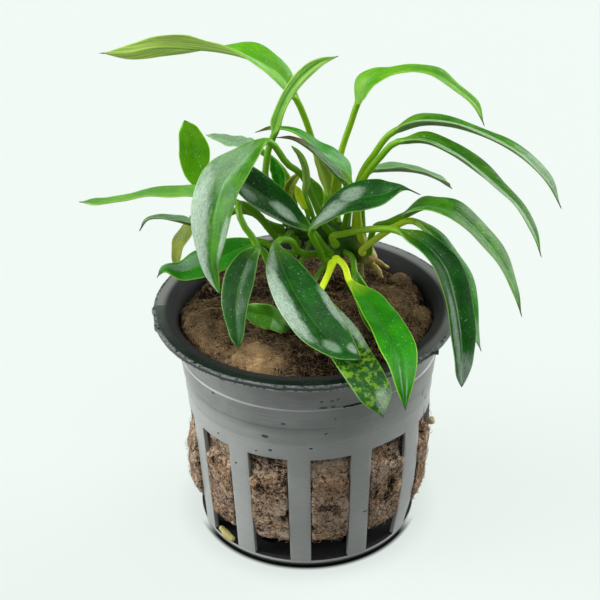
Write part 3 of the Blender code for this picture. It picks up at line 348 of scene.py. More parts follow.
def walk(points, start, end, rows, fine=240):
    """Evenly spaced places on the smooth curve between two of its knots, and the length walked."""
    track = [smooth_point(points, start + (end - start) * step / fine) for step in range(fine + 1)]
    travelled = [0.0]
    for before, after in zip(track, track[1:]):
        travelled.append(travelled[-1] + (after - before).length)
    places = []
    step = 0
    for row in range(rows + 1):
        goal = travelled[-1] * row / rows
        while step < fine - 1 and travelled[step + 1] < goal:
            step += 1
        share = (goal - travelled[step]) / (travelled[step + 1] - travelled[step])
        places.append(track[step].lerp(track[step + 1], min(1.0, share)))
    return places, travelled[-1]


print("a smooth line passes through its points:", smooth_point([Vector(), Vector((1, 2, 3))], 1.0)[:])

# %% [markdown]
# ## Where the stalks begin
# The rhizome is a creeping stem above the wool, with a short green branch to the front. Every stalk
# starts on the line through the middle of the stem, so that it grows out of its skin.

# %% The stems and the roots of the stalks
RHIZOME = [((12.5, 8.0, 48.6), 1.5), ((10.4, 10.2, 51.4), 2.3), ((5.5, 12.0, 53.4), 2.4),
           ((1.0, 12.0, 54.0), 2.2), ((-3.5, 11.8, 54.2), 1.5)]
FRONT_BRANCH = [((7.4, 11.5, 52.6), 1.9), ((6.2, 9.6, 51.2), 1.8), ((5.4, 7.6, 50.2), 1.3)]


def rod_point(rod, share):
    """The place at a share of the way along a stem."""
    t = share * (len(rod) - 1)
    index = min(int(t), len(rod) - 2)
    return Vector(rod[index][0]).lerp(Vector(rod[index + 1][0]), t - index)


rhizome_length = (Vector(RHIZOME[0][0]) - Vector(RHIZOME[-1][0])).length
print("the rhizome is", round(rhizome_length, 1), "mm from end to end")

# %% [markdown]
# ## The leaves, one row each
# A row says where on the stem a leaf starts, how its stalk and blade run, how wide it is and how it
# rolls about its own line. Roll can change along the blade: the tall leaf on the left turns its pale
# underside up.

# %% The table of leaves
LEAVES = [
    # The tall leaves at the back, from left to right
    dict(name="leaf_top_left", at=0.64, slot="leaf_bright", width=8.8, roll=(-28, -24, 30, 84, 84),
         fold=13,
         outline=(2.3, 3, 4.4, 4.4, 3.1, 3.3, 2.6, 1.9, 1.3),
         stalk=[(4.4, 15.6, 60.6), (3.2, 16, 65.6), (1.9, 16.2, 70), (0.6, 15.8, 74.6)],
         blade=[(-1.1, 15, 79.2), (-4.2, 15.4, 84), (-8.8, 15.9, 86.8), (-14, 16.6, 88.1),
                (-19.7, 17.4, 88.4), (-25.4, 17.8, 88.4), (-31.1, 18, 87.3), (-36.6, 18, 87.4)]),
    dict(name="leaf_pointed", at=0.77, slot="leaf_bright", width=2.4, roll=(50, 50, 50), fold=18,
         outline=(1, 1, 1.1, 1.1, 1.1, 1.2, 1.1, 0.9, 0.5),
         stalk=[(-1.1, 8.6, 57.5), (-4.9, 7.8, 61.9), (-6.8, 8.2, 66.4), (-6.6, 8.8, 70.1),
                (-6, 8.8, 72.9)],
         blade=[(-5.1, 8.6, 75.2), (-4, 8.4, 79.3), (-2.3, 8.3, 83.1), (0, 8.1, 86.3), (3, 8, 88.8),
                (6.4, 8, 90.1)]),
    dict(name="leaf_back_left", at=0.86, slot="leaf_dark", width=4.4, fold=10,
         outline=(1.6, 1.9, 2.1, 2.2, 2.2, 1.9, 1.7, 1.3, 0.9),
         stalk=[(-3, 15.5, 63.5)],
         blade=[(-8.8, 17.5, 68.7), (-11.1, 17.9, 69.1), (-13.4, 18.5, 69.4), (-15.7, 19.2, 69.8),
                (-18.1, 20, 70.2)]),
    dict(name="leaf_top_right", at=0.44, slot="leaf_bright", width=7.6, roll=(10, 10, 24, 31, 30),
         fold=12,
         outline=(3.8, 2.9, 1.3, 1.3, 1.4, 1.7, 1.2, 1, 1),
         stalk=[(5.8, 16.5, 60.1), (6.5, 17, 64.8), (7.6, 18, 68.9), (8.9, 18.8, 72.5)],
         blade=[(10.1, 19.5, 76), (12.1, 19.9, 79.9), (15.7, 20.2, 81.9), (20.2, 20.6, 82.5),
                (24.7, 20.9, 81.2), (28.5, 21, 78.4), (32.1, 20.7, 75.2), (34, 20, 71)]),
    dict(name="leaf_outer_right", at=0.3, slot="leaf_dark", width=6.8, roll=(0, -6, -8, 0, 4),
         outline=(3.4, 3.3, 2.8, 2.4, 2.1, 2.2, 2.2, 1.9, 1.4),
         stalk=[(9.7, 11.5, 59), (9.9, 12, 62.9), (11.1, 12, 66.5), (13, 11.2, 69.9), (14.6, 10.6, 72.8)],
         blade=[(16.5, 10, 74.9), (21.1, 9.3, 76.8), (26.1, 8.1, 77), (31.1, 6.6, 76), (35.6, 4.4, 74.5),
                (39.7, 2.3, 72.1), (43.2, 0.7, 68.6), (45.8, 0, 63.7)]),
    dict(name="leaf_inner_right", at=0.18, slot="leaf_dark", width=6.4, roll=(-4, -2, 0, 2),
         outline=(2.8, 3, 3.2, 3.1, 2.8, 2.3, 1.9, 1.8, 1.5),
         stalk=[(9.8, 8.8, 60.8), (10.5, 8.6, 65.1), (12, 8, 68.3), (13.9, 6.8, 71.4), (15.2, 5.8, 73.6)],
         blade=[(16.8, 5, 75.1), (21.5, 3.9, 75.8), (25.9, 2.4, 74.3), (30, 0.6, 71.9), (33.8, -1.6, 69.3),
                (37.3, -3.7, 66.4), (39.9, -5.6, 62.5), (41.6, -7, 57.8)]),
    dict(name="leaf_thin_right", at=0.16, slot="leaf_bright", width=5.2, roll=(-10, -8), fold=12,
         outline=(2.1, 2.5, 2.6, 2.5, 2.1, 2.1, 2.2, 2.1, 1.9),
         stalk=[(10.8, 15.5, 61.8), (11.8, 17, 63)],
         blade=[(13, 18, 63.5), (16.3, 18.6, 63.4), (19.6, 19, 63), (22.7, 19, 62.3), (25.8, 19, 60.8),
                (28.4, 19, 58.7)]),
    dict(name="leaf_curled_top", at=0.38, slot="leaf_bright", width=5.6, roll=(0, -4, 0, 0), fold=12,
         outline=(2.8, 2.8, 2.8, 2.6, 2.6, 1.7, 1, 0.6, 0.6),
         stalk=[(8.7, 14.6, 59.1)],
         blade=[(8.7, 13.6, 62.7), (7.6, 13.2, 66.1), (5.4, 12.7, 68.5), (2.5, 12.4, 70.5), (0.1, 12.2, 73),
                (-2.6, 12.4, 74.4), (-5.9, 12.6, 74.6), (-8.8, 12.6, 73.8)]),
    dict(name="leaf_dark_top", at=0.42, slot="leaf_dark", width=3, fold=12,
         outline=(1.5, 1.5, 1.5, 1.5, 1.5, 1.5, 1.3, 0.7, 0.5),
         stalk=[(8.3, 9.4, 60.5)],
         blade=[(7.7, 8.4, 65.3), (5.9, 8, 67.7), (4.1, 7.7, 69.9), (2.2, 7.4, 72.1), (0.1, 7.3, 73.8),
                (-2.2, 7.2, 75), (-4.8, 7.3, 75.2)]),
    # The leaves on the right that hang past the rim
    dict(name="leaf_mid_right", at=0.08, slot="leaf_dark", width=7.4, roll=(4, 8, 6, 4), fold=12,
         outline=(3.7, 3.3, 3.7, 3.7, 3.5, 3.3, 2.7, 1.9, 1),
         stalk=[(12.8, 6.5, 57), (15.2, 4, 59.5)],
         blade=[(17.6, 2.6, 61.5), (21.6, 1.3, 64.1), (25.8, -0.1, 63.9), (29.4, -1.6, 61.4),
                (32.5, -3.8, 58.6), (35, -6.6, 55.8), (36.9, -9.5, 52.5), (38, -12.2, 48.8)]),
    dict(name="leaf_low_right_back", at=0.16, slot="leaf_bright", width=5.4,
         outline=(1.6, 2.2, 2.5, 2.6, 2.7, 2.6, 2.3, 1.8, 1.1),
         stalk=[(10.6, 5.4, 53.2), (12.7, 4, 55.9), (16, 2.4, 59.3)],
         blade=[(19.3, 1, 61.4), (22.9, -1, 59.4), (25.5, -3, 56.3), (27.6, -5.5, 53.2), (29, -8, 49.7),
                (29.9, -9.5, 45.3), (31.4, -11, 41)]),
    dict(name="leaf_low_right_front", stem="front", at=0.45, slot="leaf_dark", width=6.6, drip=0,
         outline=(2.2, 2.9, 3.2, 3.3, 3.3, 3.2, 3, 2.6, 2),
         stalk=[(5.1, 6.4, 55.5), (7.4, 4, 57.4), (10.4, 1.5, 59.4), (13.5, -1, 60.9)],
         blade=[(16.5, -2.6, 61.3), (21, -6, 60.3), (24.3, -9.3, 57.7), (25.9, -12, 53.4),
                (26.8, -14.4, 48.7), (27.3, -16.5, 43.7), (27.4, -17.2, 37.6)]),
    # The leaves on the left
    dict(name="leaf_big_front_left", at=0.47, slot="leaf_dark", width=8.6, roll=(-20, -30), drip=0,
         outline=(2, 3.2, 4.1, 4.3, 4.3, 3.8, 3.1, 2.1, 1.1),
         stalk=[(3.9, 7.8, 57), (1.5, 7.7, 63.3), (-0.3, 6, 68.4), (-2.9, 4.2, 71.5)],
         blade=[(-6.1, 2, 76.9), (-10.2, -1.3, 75.1), (-13.5, -4.7, 72.6), (-15.2, -7.5, 68.8),
                (-16, -9.7, 64.3), (-16.2, -11.3, 59.4), (-14.7, -13, 54.7)]),
    dict(name="leaf_upright_left", at=1, slot="leaf_bright", width=5.8, roll=(-70, -70), fold=12, drip=0,
         outline=(0.9, 1.6, 2.2, 2.5, 2.8, 2.9, 2.6, 2.2, 1.6),
         stalk=[(-7, 9.4, 57.2), (-11.7, 8.8, 61.4)],
         blade=[(-18.1, 10, 62.9), (-19.1, 10, 65.8), (-19.7, 10, 68.8), (-19.8, 10, 71.8),
                (-20.4, 10, 74.8), (-21.1, 10, 77.6)]),
    dict(name="leaf_long_left", at=0.96, slot="leaf_bright", width=5.4, roll=(4, 0, -4), fold=10,
         outline=(2.6, 2.7, 2.3, 1.8, 1.4, 1.1, 1.2, 1.4, 1.4),
         stalk=[(-5.5, 12.8, 61.5), (-11, 10, 64)],
         blade=[(-16.6, 6, 65), (-20.5, 5.2, 65.4), (-24.5, 4.3, 65.9), (-28.4, 3.5, 66.2),
                (-32.3, 2.7, 65.7), (-36.2, 2, 65.4), (-40.2, 2, 65.6)]),
    dict(name="leaf_thin_left", at=1, slot="leaf_dark", width=4, fold=10,
         outline=(1.4, 1.9, 2, 2, 2, 1.4, 1, 0.7, 0.6),
         stalk=[(-6.4, 12, 54.6), (-10.7, 11.5, 59.1)],
         blade=[(-18.4, 9.5, 56.6), (-20.9, 7.5, 58.3), (-23.4, 6.4, 59.6), (-25.9, 5.7, 60.4),
                (-28.5, 5.2, 60.2), (-30.1, 5, 57.9)]),
    dict(name="leaf_yellowed", at=0.97, slot="leaf_yellow", width=5, fold=10, drip=0,
         outline=(1.4, 1.9, 2.3, 2.4, 2.5, 2.5, 2.3, 2, 1.5),
         stalk=[(-5.7, 14.4, 52), (-10.1, 14.5, 56.7)],
         blade=[(-19.4, 13, 57.2), (-20.9, 12.2, 55.4), (-22.3, 11.4, 53.5), (-23.4, 10.6, 51.4),
                (-23.9, 10, 49.1), (-23.5, 9.4, 46.7)]),
    dict(name="leaf_low_left", at=0.9, slot="leaf_bright", width=6, roll=(-34, -30), fold=12,
         outline=(1.3, 2.2, 2.8, 3, 3, 3, 2.5, 1.9, 0.9),
         stalk=[(-1.9, 7.5, 51.8), (-5.2, 5.6, 53.6)],
         blade=[(-7.7, 5, 55.4), (-10.7, 4.3, 54.9), (-13.6, 3.6, 53.9), (-16.4, 2.9, 52.8),
                (-19.4, 2.1, 52.1), (-22.4, 1.4, 51.4), (-25.4, 0.7, 52.4), (-27, 0, 50.9)]),
    # The leaves that hang to the front
    dict(name="leaf_small_front_left", at=0.9, slot="leaf_dark", width=5.6, fold=12, drip=0.01,
         outline=(1.6, 2.3, 2.7, 2.8, 2.7, 2.5, 2.1, 1.7, 1.2),
         stalk=[(-4.6, 6, 55.2), (-8.1, 4.6, 61.1), (-11, 2, 64.8), (-11.6, -1, 65.5), (-10.8, -3.2, 63.4)],
         blade=[(-8.4, -5, 60.1), (-10, -7, 58.2), (-11.2, -9, 55.9), (-11.9, -11.5, 53.8),
                (-12.1, -14, 51.6), (-11.9, -16, 49.2), (-11.7, -18, 46.7)]),
    dict(name="leaf_big_front", stem="front", at=0.5, slot="leaf_dark", width=9.2, drip=0,
         outline=(2.2, 3.3, 3.9, 4.3, 4.6, 4.5, 4.3, 3.6, 2.4),
         stalk=[(1.8, 7.8, 51.2), (-1, 3.4, 54.2), (-2.5, -0.5, 58.6)],
         blade=[(-5, -3, 59.4), (-4, -7.2, 56.8), (-2.2, -12, 55), (0, -16.5, 53.3), (2.6, -20.3, 51.5),
                (5.6, -23.5, 50.1), (9.3, -26, 49.3)]),
    dict(name="leaf_under_front", stem="front", at=1, slot="leaf_dark", width=7, drip=0.01,
         outline=(1.6, 2.5, 3.1, 3.4, 3.5, 3.5, 3.4, 3.2, 2.7),
         stalk=[(4.4, 4.2, 49), (2.9, -1, 48.7)],
         blade=[(2.1, -5.5, 50.5), (3.7, -10.5, 48.9), (5.6, -16.1, 48.1), (7.5, -22.4, 47.8),
                (9.5, -26.7, 46.5), (11.4, -29.7, 44.4), (12.7, -31.5, 41.3)]),
    dict(name="leaf_bright_front", stem="front", at=0.9, slot="leaf_bright", width=6.4, drip=0.01,
         outline=(1.4, 2.4, 2.8, 3.1, 3.1, 3.2, 3.1, 2.4, 1.4),
         stalk=[(6.8, 5.2, 50.8), (7.6, 4, 50)],
         blade=[(8.3, 1, 49), (11.1, -5.7, 49.2), (13.2, -12.7, 49.3), (14.9, -20, 49.4), (16, -25.5, 48.4),
                (16.2, -29.2, 46), (16.4, -31, 42.3)]),
    dict(name="leaf_dark_front_right", stem="front", at=0.5, slot="leaf_dark", width=4,
         stalk=[(8.8, 7.2, 50.8)],
         blade=[(9.3, 4.6, 48.9), (10.4, 0, 47.2), (12.5, -11, 46.6), (14.6, -18, 46.8), (16, -23.5, 47)]),
    dict(name="leaf_centre_dark", stem="front", at=0.8, slot="leaf_dark", width=6.6, roll=(-50, -50),
         outline=(1.1, 1.9, 2.5, 2.9, 3.2, 3.3, 3.2, 2.9, 1.9),
         stalk=[(4.4, 7, 52.2), (2.9, 6, 54.9)],
         blade=[(1.4, 5.2, 57.4), (-1.4, 4.5, 60.1), (-4.1, 3.9, 62.8), (-6.8, 3.3, 65.4),
                (-9.5, 2.8, 67.9), (-12, 2.3, 70.6), (-14.3, 2, 73.4)]),
    dict(name="leaf_centre_right", stem="front", at=0.7, slot="leaf_dark", width=7.8, roll=(22, 22),
         fold=12,
         outline=(1.6, 2.4, 3, 3.6, 3.9, 3.7, 3.3, 1.9, 0.2),
         stalk=[(3.6, 6.4, 50.7), (3, 4.6, 53.3), (1.8, 3.2, 56.6)],
         blade=[(1.3, 2.6, 58.9), (4, 3, 61.5), (7.1, 3.1, 63.6), (10.5, 3, 65), (14.1, 2.3, 66),
                (17.6, 1.7, 67.5), (20.8, 1, 66.5)]),
    # The young leaves in the heart of the plant
    dict(name="young_leaf_curved", at=0.67, slot="leaf_bright", width=1, roll=(70, 70), fold=12,
         thick=0.7, drip=0,
         outline=(0.3, 0.4, 0.5, 0.5, 0.5, 0.5, 0.5, 0.4, 0.3),
         stalk=[(1.3, 5.2, 61.7)],
         blade=[(0.3, 4.2, 65.4), (0.5, 3.9, 68.2), (0.3, 3.7, 70.9), (-0.6, 3.6, 73.4),
                (-2.1, 3.5, 75.3)]),
    dict(name="young_leaf_olive", at=0.57, slot="leaf_young", width=3, roll=(60, 60), fold=12, thick=0.7,
         drip=0,
         outline=(1, 1.4, 1.4, 1.5, 1.5, 1.4, 1.3, 0.9, 0.5),
         stalk=[(5.3, 13.2, 57.6)],
         blade=[(5, 13.4, 60.2), (4.4, 13.6, 62.8), (3.7, 13.8, 65.3), (2.8, 13.6, 67.9),
                (1.6, 13.4, 70.4)]),
    dict(name="young_leaf_dark", at=0.5, slot="leaf_young", width=2, roll=(60, 60), fold=12, thick=0.7,
         outline=(0.7, 0.8, 1, 1, 1, 0.9, 0.8, 0.6, 0.4),
         stalk=[(6, 11.2, 59)],
         blade=[(5.6, 11.4, 61), (5.8, 11.5, 62.4), (6, 11.6, 63.8), (6, 11.7, 65.3), (5.9, 11.8, 66.7)]),
    dict(name="young_leaf_left", at=0.92, slot="leaf_dark", width=2.6, roll=(-60, -60), fold=12,
         thick=0.7,
         outline=(0.6, 0.9, 1.1, 1.2, 1.3, 1.2, 1.2, 0.9, 0.6),
         stalk=[(-3.3, 9.8, 58.8), (-3.5, 10.6, 60.1)],
         blade=[(-4.1, 10.8, 62.4), (-4.3, 11, 64.3), (-4.6, 11.2, 66.1), (-5.2, 11.6, 67.8),
                (-5.8, 12, 69.4)]),
    dict(name="young_leaf_arched", at=0.88, slot="leaf_young", width=2, roll=(60, 60), thick=0.7,
         outline=(0.7, 0.9, 1, 0.9, 0.9, 0.8, 0.7, 0.5, 0.3),
         stalk=[(-1.6, 10.2, 58.4)],
         blade=[(-2.8, 8.8, 62), (-2.6, 8.7, 63.8), (-2.1, 8.6, 65.4), (-1.2, 8.5, 66.8), (0, 8.4, 67.9)]),
    dict(name="young_leaf_green", at=0.6, slot="leaf_bright", width=2.4, roll=(-60, -60), fold=12,
         thick=0.7, drip=0,
         outline=(0.6, 0.9, 1, 1.1, 1.2, 1.1, 0.9, 0.6, 0.3),
         stalk=[(3.7, 10.2, 57.7)],
         blade=[(3, 10.6, 59.8), (2.8, 10.8, 61.3), (2.3, 11, 62.7), (1.7, 11.1, 64.1), (1.1, 11.2, 65.5)]),
    dict(name="young_leaf_yellow", at=0.79, slot="leaf_yellow", width=1.6, roll=(-60, -60), fold=12,
         thick=0.7, drip=0,
         outline=(0.5, 0.6, 0.7, 0.7, 0.8, 0.8, 0.7, 0.6, 0.3),
         stalk=[(0.8, 10.7, 57.5)],
         blade=[(0.4, 10.8, 59.1), (-0.3, 10.7, 60.7), (-1, 10.7, 62.4), (-1.5, 10.6, 64.1)]),
    dict(name="young_leaf_hanging", at=0.7, slot="leaf_bright", width=1.6, roll=(-50, -50), fold=12,
         thick=0.7, drip=0,
         outline=(0.6, 0.7, 0.8, 0.8, 0.8, 0.8, 0.7, 0.6, 0.3),
         stalk=[(-0.7, 6.2, 50), (-3.1, 3.8, 49.5)],
         blade=[(-5.7, 2.6, 50.4), (-6.5, 2.5, 52.4), (-7.4, 2.3, 54.4), (-8.4, 2.2, 56.3)]),
    dict(name="young_leaf_lying", stem="front", at=1, slot="leaf_bright", width=4.6, roll=(36, 36),
         fold=8, thick=0.7, drip=0,
         outline=(1.1, 1.6, 2, 2.2, 2.3, 2.1, 1.9, 1.4, 0.9),
         stalk=[(2.6, 6.6, 47.6), (0.6, -1, 47.4)],
         blade=[(-3.1, -12.6, 47.8), (-5.8, -10.4, 48.4), (-8.9, -9.2, 48.7), (-12, -7.6, 48.9)]),
]
print("leaves:", len(LEAVES))

# %% [markdown]
# ## The shape of a leaf
# A grid rolled into a tube makes stalk and blade in one skin: its columns go round the leaf and its
# rows go from the rhizome to the tip. Where the leaf is a stalk the tube is round, and where it is a
# blade the tube is flattened, folded along the midrib and thick only there. The grid operator also
# lays out a UV map, which is then filled with what the paint needs: how far across the leaf and how
# far along it a point lies.

# %% Widths, rows and directions
STALK_ROWS = 16
BLADE_ROWS = 60
ROUND_CELLS = 32
STALK_RADIUS = 0.6
DRIP_TIP = 0.03
BLADE_STATIONS = (0.0, 0.05, 0.14, 0.27, 0.41, 0.55, 0.69, 0.82, 0.92, 1.0)
SHORT_BLADE = 10.0
WIDEST_AT = 0.42          # for a leaf whose row gives no outline
END_ROUNDING = 0.85


def half_width(share, leaf):
    """Half the width of a blade, in mm, at a share of its length."""
    share = share / (1.0 - leaf.get("drip", DRIP_TIP))
    if share <= 0.0 or share >= 1.0:
        return 0.0
    if "outline" in leaf:
        knots = (0.0, *leaf["outline"], 0.0)
        return max(0.0, smooth_point(knots, share * (len(knots) - 1)))
    power = math.log(0.5) / math.log(WIDEST_AT)
    return 0.5 * leaf["width"] * math.sin(math.pi * share ** power) ** END_ROUNDING


def roll_at(share, roll, blade_length):
    """Roll about the leaf's line, which turns evenly from one station of the model to the next."""
    stations = BLADE_STATIONS if blade_length > SHORT_BLADE else BLADE_STATIONS[::3]
    place = 0.0
    for index, (start, end) in enumerate(zip(stations, stations[1:])):
        if share > start:
            place = (index + min(1.0, (share - start) / (end - start))) / (len(stations) - 1)
    place *= len(roll) - 1
    knot = min(int(place), len(roll) - 2)
    return roll[knot] + (roll[knot + 1] - roll[knot]) * (place - knot)


def leaf_rows(leaf):
    """Centre, side and up of each row from the rhizome to the tip, and the length of the blade."""
    rod = RHIZOME if leaf.get("stem", "main") == "main" else FRONT_BRANCH
    stalk, blade = leaf["stalk"], leaf["blade"]
    knots = [rod_point(rod, leaf["at"])] + [Vector(point) for point in stalk + blade]
    base_knot = len(stalk) + 1
    stalk_places, _ = walk(knots, 0, base_knot, STALK_ROWS)
    blade_places, blade_length = walk(knots, base_knot, len(knots) - 1, BLADE_ROWS)
    places = stalk_places[:-1] + blade_places
    last = len(places) - 1
    tangents = [(places[min(row + 1, last)] - places[max(row - 1, 0)]).normalized()
                for row in range(last + 1)]
    across = (places[last] - places[STALK_ROWS]).cross(Vector((0.0, 0.0, 1.0)))
    start = tangents[STALK_ROWS]
    sides = [None] * (last + 1)
    sides[STALK_ROWS] = (across - start * across.dot(start)).normalized()
    for row in range(STALK_ROWS + 1, last + 1):
        sides[row] = tangents[row - 1].rotation_difference(tangents[row]) @ sides[row - 1]
    for row in range(STALK_ROWS - 1, -1, -1):
        sides[row] = tangents[row + 1].rotation_difference(tangents[row]) @ sides[row + 1]
    rows = []
    for row, place in enumerate(places):
        share = max(0.0, (row - STALK_ROWS) / BLADE_ROWS)
        angle = math.radians(roll_at(share, leaf.get("roll", (0, 0)), blade_length))
        side = (Matrix.Rotation(angle, 3, tangents[row]) @ sides[row]).normalized()
        rows.append((place, side, side.cross(tangents[row])))
    return rows, blade_length


print("rows in a leaf:", STALK_ROWS + BLADE_ROWS + 1)

# %% [markdown]
# The skin itself is a short formula. Across the blade, each half rises by the fold, with a slight
# belly, and the margin waves a little. Thickness is even out to the margin, which is rounded. The
# midrib is a shallow groove on top, and the stalk runs on below it as a keel that thins to the tip.

# %% The skin of a leaf
BLADE_THICKNESS = 0.3
GROOVE_DEPTH = 0.07
GROOVE_REACH = 0.4
KEEL_REACH = 0.55
BELLY = 0.3
STALK_TAPER = 0.85
STALK_FOOT = 0.6          # how much thicker a stalk is where it sheathes the stem
FOOT_SHARE = 0.3          # how much of the stalk's length that is
FLAT_HALF = 1.5           # half the width, in mm, from which the skin is all blade
FOLD = 14                 # degrees, for a leaf whose row gives none
MARGIN_POWER = 10         # how suddenly the margin is rounded
RIPPLE = 0.16
SLOW_WAVE, QUICK_WAVE, QUICK_SHARE = 9.0, 21.0, 0.6


def skin_corner(leaf, row, angle, wave):
    """Across and up, in mm, of one corner of a row, with the numbers that the paint uses."""
    share = (row - STALK_ROWS) / BLADE_ROWS
    along = max(0.0, share)
    core = STALK_RADIUS * leaf.get("thick", 1.0) * (1.0 - STALK_TAPER * along)
    if share < 0.0:
        core *= 1.0 + STALK_FOOT * max(0.0, 1.0 - row / (FOOT_SHARE * STALK_ROWS)) ** 2
    half = half_width(along, leaf)
    flat = min(1.0, half / FLAT_HALF)
    across, up = -math.cos(angle), math.sin(angle)
    reach = abs(across)
    fold = math.tan(math.radians(leaf.get("fold", FOLD)))
    lift = half * fold * (reach + BELLY * math.sin(math.pi * reach))
    lift += wave * flat * reach * reach
    sheet = 0.5 * BLADE_THICKNESS * math.sqrt(max(0.0, 1.0 - reach ** MARGIN_POWER))
    if up >= 0.0:
        blade_up = sheet - GROOVE_DEPTH * math.exp(-(reach * half / GROOVE_REACH) ** 2)
    else:
        blade_up = -sheet - core * math.exp(-(reach * half / KEEL_REACH) ** 2)
    x = across * (half + core * (1.0 - flat))
    y = (1.0 - flat) * core * up + flat * blade_up + lift
    return x, y, half


def leaf_shape(leaf, seed):
    """The mesh of one leaf with its two UV maps, and the length of its blade."""
    rows, blade_length = leaf_rows(leaf)
    last = len(rows) - 1
    draw = random.Random(seed)
    phase = [draw.uniform(0.0, 2.0 * math.pi) for _ in range(4)]
    shape = bmesh.new()
    leaf_map = shape.loops.layers.uv.new("leaf")
    span_map = shape.loops.layers.uv.new("span")
    bmesh.ops.create_grid(shape, x_segments=ROUND_CELLS, y_segments=last, size=1.0)
    paint = {}
    for vert in shape.verts:
        column = round((vert.co.x + 1.0) * 0.5 * ROUND_CELLS)
        row = round((vert.co.y + 1.0) * 0.5 * last)
        angle = 2.0 * math.pi * column / ROUND_CELLS
        share = (row - STALK_ROWS) / BLADE_ROWS
        side_phase = 0 if math.cos(angle) > 0.0 else 1
        wave = math.sin(share * SLOW_WAVE + phase[side_phase])
        wave += QUICK_SHARE * math.sin(share * QUICK_WAVE + phase[2 + side_phase])
        wave *= RIPPLE
        x, y, half = skin_corner(leaf, row, angle, wave)
        centre, side, normal = rows[row]
        if row in (0, last):
            x, y = 0.0, 0.0
        vert.co = (centre + side * x + normal * y) * MM
        over = 0.5 * (1.0 - math.cos(angle))
        v = share if share > 0.0 else (row / STALK_ROWS - 1.0)
        paint[vert.index] = (over if column <= ROUND_CELLS // 2 else 2.0 - over, v, x, half)
    for face in shape.faces:
        for loop in face.loops:
            u, v, x, half = paint[loop.vert.index]
            loop[leaf_map].uv = (u, v)
            loop[span_map].uv = (x, half)
    close_up(shape)
    return shape, blade_length


test_shape, test_length = leaf_shape(LEAVES[0], 0)
print("faces in a leaf:", len(test_shape.faces), "blade length in mm:", round(test_length, 1))
test_shape.free()

# %% [markdown]
# ## The paint of a leaf
# Seen close, an anubias leaf has a pale midrib, side veins that leave it at a low angle and run out
# along the margin, and a thin translucent edge. The upper side is glossy and deep green, the
# underside paler and duller. The veins are lines of equal value of one formula on the UV map, so they
# follow each leaf however it bends. Patches of painted sheen, the lamps' reflections painted onto the
# blades, are ellipses on the same map.

# %% The greens
GREENS = {
    "dark": dict(deep=(0.0006, 0.040, 0.0006), fresh=(0.010, 0.150, 0.004), under=(0.13, 0.27, 0.06),
                 margin=(0.24, 0.50, 0.08), gloss=0.30),
    "mid": dict(deep=(0.010, 0.120, 0.001), fresh=(0.100, 0.360, 0.012), under=(0.20, 0.38, 0.08),
                margin=(0.30, 0.56, 0.09), gloss=0.33),
    "bright": dict(deep=(0.006, 0.160, 0.001), fresh=(0.036, 0.330, 0.002), under=(0.32, 0.56, 0.08),
                   margin=(0.34, 0.66, 0.04), gloss=0.34),
    "lit": dict(deep=(0.050, 0.270, 0.002), fresh=(0.170, 0.470, 0.008), under=(0.52, 0.80, 0.14),
                margin=(0.40, 0.72, 0.06), gloss=0.38),
    "young": dict(deep=(0.200, 0.380, 0.006), fresh=(0.500, 0.620, 0.012), under=(0.30, 0.42, 0.05),
                  margin=(0.50, 0.65, 0.05), gloss=0.42),
    "yellow": dict(deep=(0.045, 0.110, 0.001), fresh=(0.260, 0.290, 0.003), under=(0.26, 0.26, 0.02),
                   margin=(0.36, 0.40, 0.03), gloss=0.45),
}
MIDRIB = (0.09, 0.34, 0.02)
STALK_LOW = (0.070, 0.190, 0.006)
STALK_HIGH = (0.120, 0.340, 0.008)
STALK_BRIGHT = (0.560, 0.760, 0.020)
STALK_YELLOW = (0.300, 0.430, 0.012)
# the pale colour of the painted sheen, also used for the tiny pale dots
SHEEN_COLOUR = (0.60, 0.78, 0.62)
TIP_BROWN = (0.075, 0.035, 0.012)
